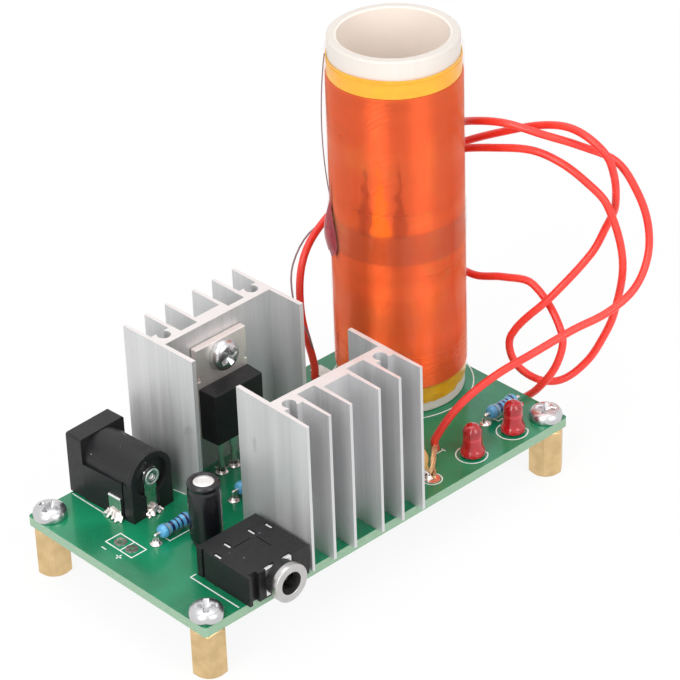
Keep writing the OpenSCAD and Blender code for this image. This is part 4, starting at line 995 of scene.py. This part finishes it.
def tapes():
    """The two yellow tapes; the lower one was torn off in a ragged line."""
    outside = TUBE_RADIUS + 0.17

    def ragged(angle):
        tear = 0.30 * noise.noise(Vector((angle / 9, 2.0, 0)))
        dip = 0.75 / (1 + math.exp(-angle_gap(angle, 283) / 2.0)) - 0.35
        return 11.75 + tear + (dip if abs(angle_gap(angle, 283)) < 60 else 0)

    def lower_outside(angle, height):
        return outside + 0.02 * noise.noise(Vector((angle / 8, height, 1)))

    def upper_outside(angle, height):
        return outside + 0.03 * abs(noise.noise(Vector((angle / 6, height, 5))))

    lower = wrapped(
        "lower_tape", lower_outside, 0.14, ragged, lambda a: LOWER_FILM_ENDS[0], 180, 6,
    )
    add_piece("lower_tape", lower, TAPE_DEEP, ["tape_lower"])
    upper = wrapped(
        "upper_tape", upper_outside, 0.14, lambda a: 64.8,
        lambda a: 67.75 + 0.05 * math.sin(math.radians(4 * a)), 180, 8,
    )
    add_piece("upper_tape", upper, TAPE, ["tape_upper"])
    edge = wrapped(
        "tape_edge", lambda a, h: TUBE_RADIUS + 0.24, 0.06,
        lambda a: 67.1 + 0.04 * math.sin(math.radians(3 * a)),
        lambda a: 67.22 + 0.04 * math.sin(math.radians(3 * a)), 120, 1,
    )
    add_piece("upper_tape_lap", edge, TAPE)


def upper_lead():
    """The winding's fine upper end, held under the tape and down into the pleat."""
    steps = 24
    high, low = 68.0, 44.2
    path = []
    for i in range(steps + 1):
        share = i / steps
        height = high - (high - low) * share
        reach = 10.3 + 0.85 * math.sin(math.pi * share) ** 0.8
        path.append(around_coil(reach, 141 + 2 * math.sin(3 * share), height))
    add_piece("upper_lead", tube_mesh("upper_lead", path, 0.09, 6), LEAD_ENAMEL)


winding_piece()
films()
pleat()
tapes()
upper_lead()
softened("coil_tube", 0.3, TUBE, 3)


# Screws


def recess_arm(length, height, turn):
    """One arm of a cross recess: a block that is half as long and wide at its foot."""
    bm = bmesh.new()
    bmesh.ops.create_cube(bm, size=1)
    for vert in bm.verts:
        top = vert.co.z > 0
        long = length * (1.0 if top else 0.45)
        wide = 1.0 if top else 0.5
        vert.co = vec(
            math.copysign(long / 2, vert.co.x), math.copysign(wide / 2, vert.co.y),
            height + 0.3 if top else height - 1.05,
        )
    return placed(to_mesh(bm, "arm"), Matrix.Rotation(math.radians(turn), 4, "Z"))


def pan_head(diameter, height, recess, shank):
    """A pan-head screw along Z with a cross recess that narrows downwards."""
    r = diameter / 2
    head = turned("head", [
        (0, -shank), (1.42, -shank), (1.42, 0), (r - 0.12, 0), (r, 0.14), (r, 0.36 * height),
        (r * 0.965, 0.58 * height), (r * 0.87, 0.78 * height), (r * 0.70, 0.92 * height),
        (r * 0.45, 0.985 * height), (0, height),
    ], sides=64)
    body = loose_object("screw", head)
    arms = [loose_object("arm", recess_arm(recess, height, turn)) for turn in (0, 90)]
    for arm in arms:
        cut = body.modifiers.new("recess", "BOOLEAN")
        cut.operation = "DIFFERENCE"
        cut.object = arm
        cut.solver = "EXACT"
    round_edges(body, 0.07, 2, 40)
    mesh = applied(body)
    for arm in arms:
        bpy.data.objects.remove(arm)
    return smooth(mesh, math.radians(30))


def screws():
    """The four screws of the board and the two of the transistors' tabs."""
    corners = [(-35.1, 17.6, 20), (-35.1, -17.6, 48), (35.1, 17.6, 5), (35.1, -17.6, 33)]
    places = [standing(x, y, turn) for x, y, turn in corners]
    mesh = repeated("board_screws", pan_head(5.2, 1.8, 3.9, 4.8), places, CHROME)
    add_piece("board_screw_heads", mesh, CHROME, ["board_screws"])
    places = []
    for sink, shift, turn in ((REAR_SINK, -0.9, 24), (FRONT_SINK, 0.0, 61)):
        facing = Matrix.Rotation(math.radians(90), 4, "X")
        turned_head = facing @ Matrix.Rotation(math.radians(turn), 4, "Z")
        places.append(sink @ Matrix.Translation(vec(shift, -1.4, 19.6)) @ turned_head)
    mesh = repeated("tab_screws", pan_head(5.0, 1.8, 3.7, 3.6), places, CHROME)
    add_piece("tab_screw_heads", mesh, CHROME, ["transistor_screws"])


screws()


# Board: print, tracks, pads


def strokes(name, lines, width):
    """Flat printed lines on the board; each line is a list of (x, y) points in millimetres."""
    low, high = BOARD_TOP + 0.001, BOARD_TOP + 0.016
    bm = bmesh.new()
    for line in lines:
        points = [Vector(p) for p in line]
        loop = (points[0] - points[-1]).length < 1e-6
        if loop:
            points = points[:-1]
        sides = []
        for i, point in enumerate(points):
            before = points[i - 1] if loop or i else point
            after = points[(i + 1) % len(points)] if loop or i < len(points) - 1 else point
            a = (point - before).normalized() if (point - before).length else None
            b = (after - point).normalized() if (after - point).length else None
            a, b = a or b, b or a
            along = (a + b).normalized()
            reach = width / 2 / max(0.4, along.dot(a))
            off = Vector((-along.y, along.x)) * reach
            sides.append((point + off, point - off))
        verts = [
            [bm.verts.new(vec(p.x, p.y, z)) for p, z in (
                (left, low), (left, high), (right, high), (right, low),
            )]
            for left, right in sides
        ]
        skin(bm, verts + verts[:1] if loop else verts)
        if not loop:
            bm.faces.new(verts[0])
            bm.faces.new(list(reversed(verts[-1])))
    return to_mesh(outward(bm), name)


def circle(x, y, radius, start=0, end=360, steps=40):
    """The points of a circle, or of its part between two angles in degrees."""
    angles = [math.radians(start + (end - start) * k / steps) for k in range(steps + 1)]
    return [(x + radius * math.cos(angle), y + radius * math.sin(angle)) for angle in angles]


def rectangle(x0, y0, x1, y1):
    """The closed line round a rectangle."""
    return [(x0, y0), (x1, y0), (x1, y1), (x0, y1), (x0, y0)]


def board_print():
    """Outlines of the sub-parts and the two signs at the input pads."""
    lines = [
        [(-29.2, 19.6), (-29.2, 12.3)],
        rectangle(-33.65, 0.6, -30.8, 6.45),
        [(-33.6, 3.25), (-30.9, 3.25)],
        [(-34.9, 5.9), (-34.9, 4.9)],
        [(-34.75, 2.7), (-34.75, 1.6)],
        [(-35.3, 2.15), (-34.2, 2.15)],
        [(-29.7, -9.2), (-30.75, -9.2), (-30.75, -19.6)],
        circle(COIL_FOOT[0], COIL_FOOT[1], 11.4, steps=72),
        [(15.1, -12.5), (17.7, -12.5)],
        [(17.7, -12.1), (17.7, -12.95)],
        circle(*STRAND_PAD, 1.5),
        [(-9.6, 9.3), (-9.6, 7.9), (-2.6, 7.9), (-2.6, 9.3)],
        [(-10.2, -11.0), (-10.2, -9.2), (-2.2, -9.2), (-2.2, -11.0)],
        [(-17.95, 9.4), (-17.5, 7.0)],
    ]
    for x, y in RESISTOR_PLACES.values():
        left, right, top, bottom = x - 1.8, x + 2.9, y + 1.5, y - 0.95
        lines.append([(left, top), (left, bottom), (right, bottom), (right, top)])
    for x, y in LAMP_PLACES.values():
        flat = 36
        ring = circle(x - 0.1, y + 0.1, 2.45, flat, 360 - flat)
        lines.append(ring + ring[:1])
    mesh = strokes("board_print", lines, 0.2)
    add_piece("board_print", mesh, PRINT)
    patch = box_mesh("patch", (19.0, 16.2, BOARD_TOP), (21.3, 18.8, BOARD_TOP + 0.03), 0.01)
    add_piece("print_patch", patch, PRINT)


def ring_pad(x, y, outer, inner, height=0.05):
    """A flat ring on the board."""
    profile = [(inner, 0), (outer, 0), (outer, height), (inner, height)]
    return placed(turned("pad", profile, 32, ring=True), standing(x, y))


def pads():
    """Tinned rings round the open holes and round the bare strands."""
    rings = [
        ring_pad(*INPUT_PADS[0], 1.0, 0.5), ring_pad(*INPUT_PADS[1], 1.0, 0.5),
        ring_pad(*STRAND_PAD, 1.25, 0.3, 0.12),
    ]
    add_piece("open_pads", joined("open_pads", rings), SOLDER)


board_print()
pads()


# Small electrical parts


def resistors():
    """Three dipped resistors with thicker ends and coloured bands."""
    profile = [
        (0, -2.85), (0.5, -2.84), (0.86, -2.70), (1.05, -2.35), (1.075, -2.0), (1.03, -1.6),
        (0.90, -1.30), (0.86, -0.9), (0.86, 0.9), (0.90, 1.30), (1.03, 1.6), (1.075, 2.0),
        (1.05, 2.35), (0.86, 2.70), (0.5, 2.84), (0, 2.85),
    ]
    navy, violet, black = (0.012, 0.022, 0.09), (0.03, 0.012, 0.10), (0.012, 0.015, 0.04)
    colors = {
        "power": (navy, navy, violet), "gate": (violet, navy, black), "lamp": (navy, violet, navy),
    }
    for name, (x, y) in RESISTOR_PLACES.items():
        mesh = turned("resistor", profile, 40)
        placed(mesh, lying_along_x(x, y, BOARD_TOP + RESISTOR_AXIS_HEIGHT))
        finish = resistor_finish("banded_blue_" + name, x, *colors[name])
        add_piece("banded_resistor_" + name, mesh, finish, ["resistor_" + name])


def can():
    """The sleeved can: the sleeve curls over the rim onto the bare top, with a crimped neck."""
    sleeve = turned("sleeve", [
        (0, 0.82), (2.2, 0.82), (2.42, 0.95), (2.49, 1.25), (2.5, 1.6), (2.5, 9.35), (2.46, 9.6),
        (2.39, 9.78), (2.38, 9.92), (2.43, 10.1), (2.49, 10.28), (2.49, 10.45), (2.42, 10.68),
        (2.26, 10.84), (2.02, 10.9), (1.78, 10.88), (1.62, 10.78), (1.55, 10.66), (1.55, 10.3),
        (0, 10.3),
    ], sides=64)
    place = standing(*CAN_PLACE)
    placed(sleeve, place)
    add_piece("curled_sleeve", sleeve, SLEEVE, ["capacitor_sleeve"])
    vent = turned("vent", [
        (0, 10.3), (1.56, 10.3), (1.56, 10.66), (1.50, 10.69), (1.05, 10.70), (1.0, 10.66),
        (0.92, 10.66), (0.87, 10.70), (0, 10.71),
    ], sides=48)
    add_piece("can_top", placed(vent, place), CAN, ["capacitor_vent"])


def disc():
    """The dipped disc: a lens of enamel that runs a little way down its leads."""
    profile = [(0, -1.1), (0.9, -1.06), (1.7, -0.88), (2.25, -0.5), (2.48, 0), (2.25, 0.5),
               (1.7, 0.88), (0.9, 1.06), (0, 1.1)]
    body = turned("disc", profile, 48)
    across = Matrix.Rotation(math.radians(90), 4, "X")
    placed(body, standing(DISC_PLACE[0], DISC_PLACE[1], z=BOARD_TOP + 3.8) @ across)
    for vert in body.vertices:
        vert.co += vert.normal * noise.noise(vert.co / (1.1 * MM)) * 0.06 * MM
    runs = [
        tube_mesh("run", [
            (DISC_PLACE[0] + side * 1.9, DISC_PLACE[1], BOARD_TOP + 2.6),
            (DISC_PLACE[0] + side * 2.45, DISC_PLACE[1], BOARD_TOP + 1.3),
        ], 0.5, 12, 0.6)
        for side in (-1, 1)
    ]
    whole = joined("dipped_disc", [body] + runs)
    add_piece("dipped_disc", whole, DISC, ["disc_capacitor"])


def lamps():
    """Inside each lens: the cup with its post, the other post, and a thin lens front."""
    metal = []
    for x, y in LAMP_PLACES.values():
        metal.append(box_mesh("post", (x - 1.0, y - 0.25, 10.3), (x - 0.35, y + 0.25, 12.9), 0.08))
        metal.append(box_mesh("anvil", (x - 1.0, y - 0.25, 12.6), (x + 0.1, y + 0.25, 13.1), 0.08))
        metal.append(box_mesh("post", (x + 0.45, y - 0.2, 10.3), (x + 0.9, y + 0.2, 13.0), 0.08))
        cup = turned("cup", [
            (0, 12.9), (0.35, 12.9), (0.62, 13.4), (0.55, 13.4), (0.3, 13.0), (0, 13.0),
        ], 24)
        metal.append(placed(cup, Matrix.Translation(vec(x - 0.25, y, 0))))
    add_piece("lamp_frames", joined("lamp_frames", metal), LEADFRAME)
    angles = [math.radians(a) for a in range(10, 90, 10)]
    dome = [(1.5 * math.cos(a), 3.8 + 1.5 * math.sin(a)) for a in angles]
    profile = [
        (0, 0), (1.82, 0), (1.9, 0.1), (1.9, 0.72), (1.84, 0.88), (1.7, 1.12), (1.6, 1.5),
        (1.54, 2.1), (1.5, 2.8), (1.5, 3.8),
    ] + dome + [(0, 5.3)]
    for side, (x, y) in LAMP_PLACES.items():
        lens = turned("lens", profile, 56)
        for vert in lens.vertices:
            vert.co.x = min(vert.co.x, 1.55 * MM)
        placed(lens, standing(x, y, z=BOARD_TOP + 0.3))
        add_piece("lens_" + side, lens, LENS, ["lamp_" + side])


resistors()
can()
disc()
lamps()


# Jacks, transistors, heat sinks, standoffs


def solder_spikes():
    """Ragged solder drawn up round the power jack's two straps."""
    spikes = []
    rng = random.Random(7)
    for side_tab, count, reach, spread in ((True, 5, 1.5, 1.9), (False, 4, 1.3, 1.6)):
        for k in range(count):
            across = 2 * k / (count - 1) - 1
            far = rng.uniform(0.6, 1.0) * reach * (1 - 0.45 * across * across)
            top = rng.uniform(0.7, 1.5) * (1 - 0.5 * across * across)
            if side_tab:
                start = (-4.3, 3.6 + 1.15 * across, top)
                foot = (-4.55 - far, 3.6 + spread * across + rng.uniform(-0.2, 0.2), 0.06)
            else:
                start = (1.05 * across, 0.25, top)
                foot = (spread * across + rng.uniform(-0.2, 0.2), -0.05 - far, 0.06)
            x, y = [0.55 * a + 0.45 * b for a, b in zip(start[:2], foot)]
            path = [start, (x, y, 0.34 * top + 0.1), foot]
            spike = tube_mesh("spike", path, rng.uniform(0.55, 0.75), 8, 0.35)
            spikes.append(placed(spike, POWER_JACK))
    return spikes


def islands(bm):
    """The vertices of each separate shell."""
    waiting = set(bm.verts)
    while waiting:
        shell, edge = [], [waiting.pop()]
        while edge:
            vert = edge.pop()
            shell.append(vert)
            for link in vert.link_edges:
                other = link.other_vert(vert)
                if other in waiting:
                    waiting.remove(other)
                    edge.append(other)
        yield shell


def swell(fillet):
    """Makes a fillet that stands on the board wider and taller, as hand soldering leaves it."""
    top = max(vert.co.z for vert in fillet) / MM - BOARD_TOP
    if top < 0.1:
        return
    middle = sum((vert.co for vert in fillet), Vector()) / len(fillet)
    for vert in fillet:
        above = vert.co.z / MM - BOARD_TOP
        if above > -0.02:
            vert.co.x = middle.x + 1.3 * (vert.co.x - middle.x)
            vert.co.y = middle.y + 1.3 * (vert.co.y - middle.y)
            vert.co.z += 1.1 * max(above, 0) * MM


def solder():
    """Every joint as one lumpy surface: the fillets of the source, swollen, roughened and fused."""
    bm = node_copy("solder_joints")
    for fillet in islands(bm):
        swell(fillet)
    for spike in solder_spikes():
        bm.from_mesh(spike)
    blank = loose_object("solder", to_mesh(bm, "solder"))
    remesh = blank.modifiers.new("fused", "REMESH")
    remesh.mode = "VOXEL"
    remesh.voxel_size = 0.11 * MM
    even = blank.modifiers.new("even", "SMOOTH")
    even.factor = 0.5
    even.iterations = 4
    mesh = applied(blank)
    for vert in mesh.vertices:
        lump = noise.noise(vert.co / (0.6 * MM)) + 0.3 * noise.noise(vert.co / (0.3 * MM))
        vert.co += vert.normal * lump * 0.07 * MM
    mesh.shade_smooth()
    add_piece("solder_lumps", mesh, SOLDER, ["solder_joints"])


def standoffs():
    """Hexagonal spacers whose two ends were turned, so their corners run out in round chamfers."""
    flat, height, bore = 2.5, 8.0, 1.5
    levels = [0, 0.06, 0.14, 0.24, 0.36, 0.5, 7.5, 7.64, 7.76, 7.86, 7.94, height]
    sides = 72
    bm = bmesh.new()
    outer = []
    for level in levels:
        chamfer = 2.42 + 0.95 * min(level, height - level)
        ring = []
        for k in range(sides):
            angle = 360 * k / sides
            reach = min(flat / math.cos(math.radians(angle % 60 - 30)), chamfer)
            turn = math.radians(angle)
            ring.append(bm.verts.new(vec(reach * math.cos(turn), reach * math.sin(turn), level)))
        outer.append(ring)
    foot, top = [level_ring(bm, bore, level, sides) for level in (0, height)]
    skin(bm, outer + [top, foot, outer[0]])
    post = smooth(to_mesh(outward(bm), "post"), math.radians(25))
    corners = [(-35.1, 17.6, -6), (-35.1, -17.6, -9), (35.1, -17.6, -22), (35.1, 17.6, 10)]
    places = [standing(x, y, turn, 0) for x, y, turn in corners]
    mesh = repeated("standoff_posts", post, places, BRASS)
    add_piece("standoff_posts", mesh, BRASS, ["standoffs"])


def jack_details():
    """The power jack's rolled rivet lip with its hollow, and the fold on top of its side tab."""
    lip = turned("lip", [
        (0.30, 0.10), (0.42, 0.30), (0.58, 0.34), (0.66, 0.22), (0.72, 0.12), (0.82, 0.30),
        (0.98, 0.50), (1.16, 0.57), (1.34, 0.50), (1.46, 0.32), (1.49, 0.10), (1.47, -0.02),
        (0.30, -0.02),
    ], sides=56, ring=True)
    facing = Matrix.Rotation(math.radians(90), 4, "X")
    back = POWER_JACK @ Matrix.Translation(vec(0, 0.35, 6.6)) @ facing
    add_piece("rivet_lip", placed(lip, back), LEG_TIP)
    fold = tube_mesh("fold", [(-4.28, 2.32, 3.5), (-4.28, 3.6, 3.52), (-4.28, 4.88, 3.5)], 0.26, 14)
    add_piece("tab_fold", placed(fold, POWER_JACK), LEG_TIP)


solder()
softened("heatsink_rear", 0.07, ALUMINIUM)
softened("heatsink_front", 0.07, ALUMINIUM)
standoffs()
softened("power_jack_housing", 0.12, JACK_PLASTIC)
softened("audio_jack_housing", 0.1, JACK_PLASTIC)
softened("audio_jack_ring", 0.12, SILVER, 3)
softened("audio_jack_plate", 0.06, LEG_TIP)
softened("audio_jack_legs", 0.06, LEG_TIP)
softened("power_jack_side_tab", 0.06, CONTACT)
softened("power_jack_rear_strap", 0.05, CONTACT)
jack_details()
for place in ("rear", "front"):
    softened("transistor_" + place + "_case", 0.16, EPOXY)
    softened("transistor_" + place + "_tab", 0.1, TAB)
    softened("transistor_" + place + "_leads", 0.06, TINNED)

NODE_FINISHES = {
    MASK: ["board"],
    BRASS: ["power_jack_spring"],
    CHROME: ["power_jack_pin"],
    TINNED: [
        "heatsink_pins", "capacitor_leads", "disc_capacitor_leads", "resistor_leads", "lamp_leads",
    ],
    PAD: ["insulator_pads"],
    RUBBER: ["capacitor_bung"],
    LEAD_ENAMEL: ["secondary_lead_end"],
    COPPER: ["primary_wire_ends"],
}


def finish_nodes():
    """Gives the source's own small pieces their finishes."""
    for finish, names in NODE_FINISHES.items():
        for name in names:
            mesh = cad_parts[name].data
            mesh.materials.clear()
            mesh.materials.append(finish)


finish_nodes()


# Studio: a pale floor, a white surround and soft lamps

FLOOR_GLOW = 0.9
SURROUND_LIGHT = 0.6


def seen_directly(tree):
    """1 for what the camera sees itself, in a gloss or through something clear; 0 for light."""
    path = add_node(tree, "ShaderNodeLightPath").outputs
    seen = path["Is Camera Ray"]
    for ray in ("Is Glossy Ray", "Is Transmission Ray"):
        either = add_node(tree, "ShaderNodeMath", {0: seen, 1: path[ray]}, operation="MAXIMUM")
        seen = either.outputs[0]
    return seen


def surround():
    """A white world for the camera and for reflections, and a dimmer one for the light it gives."""
    world = bpy.data.worlds.new("studio")
    bpy.context.scene.world = world
    world.use_nodes = True
    tree = world.node_tree
    tree.nodes.clear()
    white = (1, 1, 1, 1)
    dim = add_node(tree, "ShaderNodeBackground", {"Color": white, "Strength": SURROUND_LIGHT})
    full = add_node(tree, "ShaderNodeBackground", {"Color": white, "Strength": 1.0})
    mix = add_node(tree, "ShaderNodeMixShader", {
        0: seen_directly(tree), 1: dim.outputs[0], 2: full.outputs[0],
    })
    add_node(tree, "ShaderNodeOutputWorld", {"Surface": mix.outputs[0]})


def floor():
    """A wide white floor that keeps the object's shadow."""
    half = 1.5
    mesh = bpy.data.meshes.new("floor")
    corners = [(-half, -half, 0), (half, -half, 0), (half, half, 0), (-half, half, 0)]
    mesh.from_pydata(corners, [], [(0, 1, 2, 3)])
    material = bpy.data.materials.new("white_floor")
    material.use_nodes = True
    tree = material.node_tree
    shader = tree.nodes["Principled BSDF"]
    shader.inputs["Base Color"].default_value = (0.93, 0.93, 0.93, 1)
    shader.inputs["Roughness"].default_value = 0.9
    glow = add_node(tree, "ShaderNodeEmission")
    share = add_node(
        tree, "ShaderNodeMath", {0: seen_directly(tree), 1: FLOOR_GLOW}, operation="MULTIPLY"
    )
    mix = add_node(tree, "ShaderNodeMixShader", {
        0: share.outputs[0], 1: shader.outputs[0], 2: glow.outputs[0],
    })
    tree.links.new(mix.outputs[0], tree.nodes["Material Output"].inputs["Surface"])
    mesh.materials.append(material)
    loose_object("floor", mesh)


def soft_lamp(name, place, size, power):
    """A square lamp at a place in metres, aimed at the coil's foot."""
    data = bpy.data.lights.new(name, "AREA")
    data.shape = "RECTANGLE"
    data.size, data.size_y = size
    data.energy = power
    lamp = bpy.data.objects.new(name, data)
    bpy.context.scene.collection.objects.link(lamp)
    lamp.location = place
    aim = Vector((0.01, 0, 0.03)) - Vector(place)
    lamp.rotation_mode = "QUATERNION"
    lamp.rotation_quaternion = aim.to_track_quat("-Z", "Y")


surround()
floor()
soft_lamp("left_softbox", (-0.66, -0.2, 0.45), (0.39, 0.7), 3.2)
soft_lamp("right_softbox", (0.02, -0.78, 0.45), (0.5, 0.7), 2.6)
soft_lamp("top_softbox", (0.0, 0.1, 0.9), (0.8, 0.8), 2.4)

bpy.context.scene.view_settings.view_transform = "Standard"
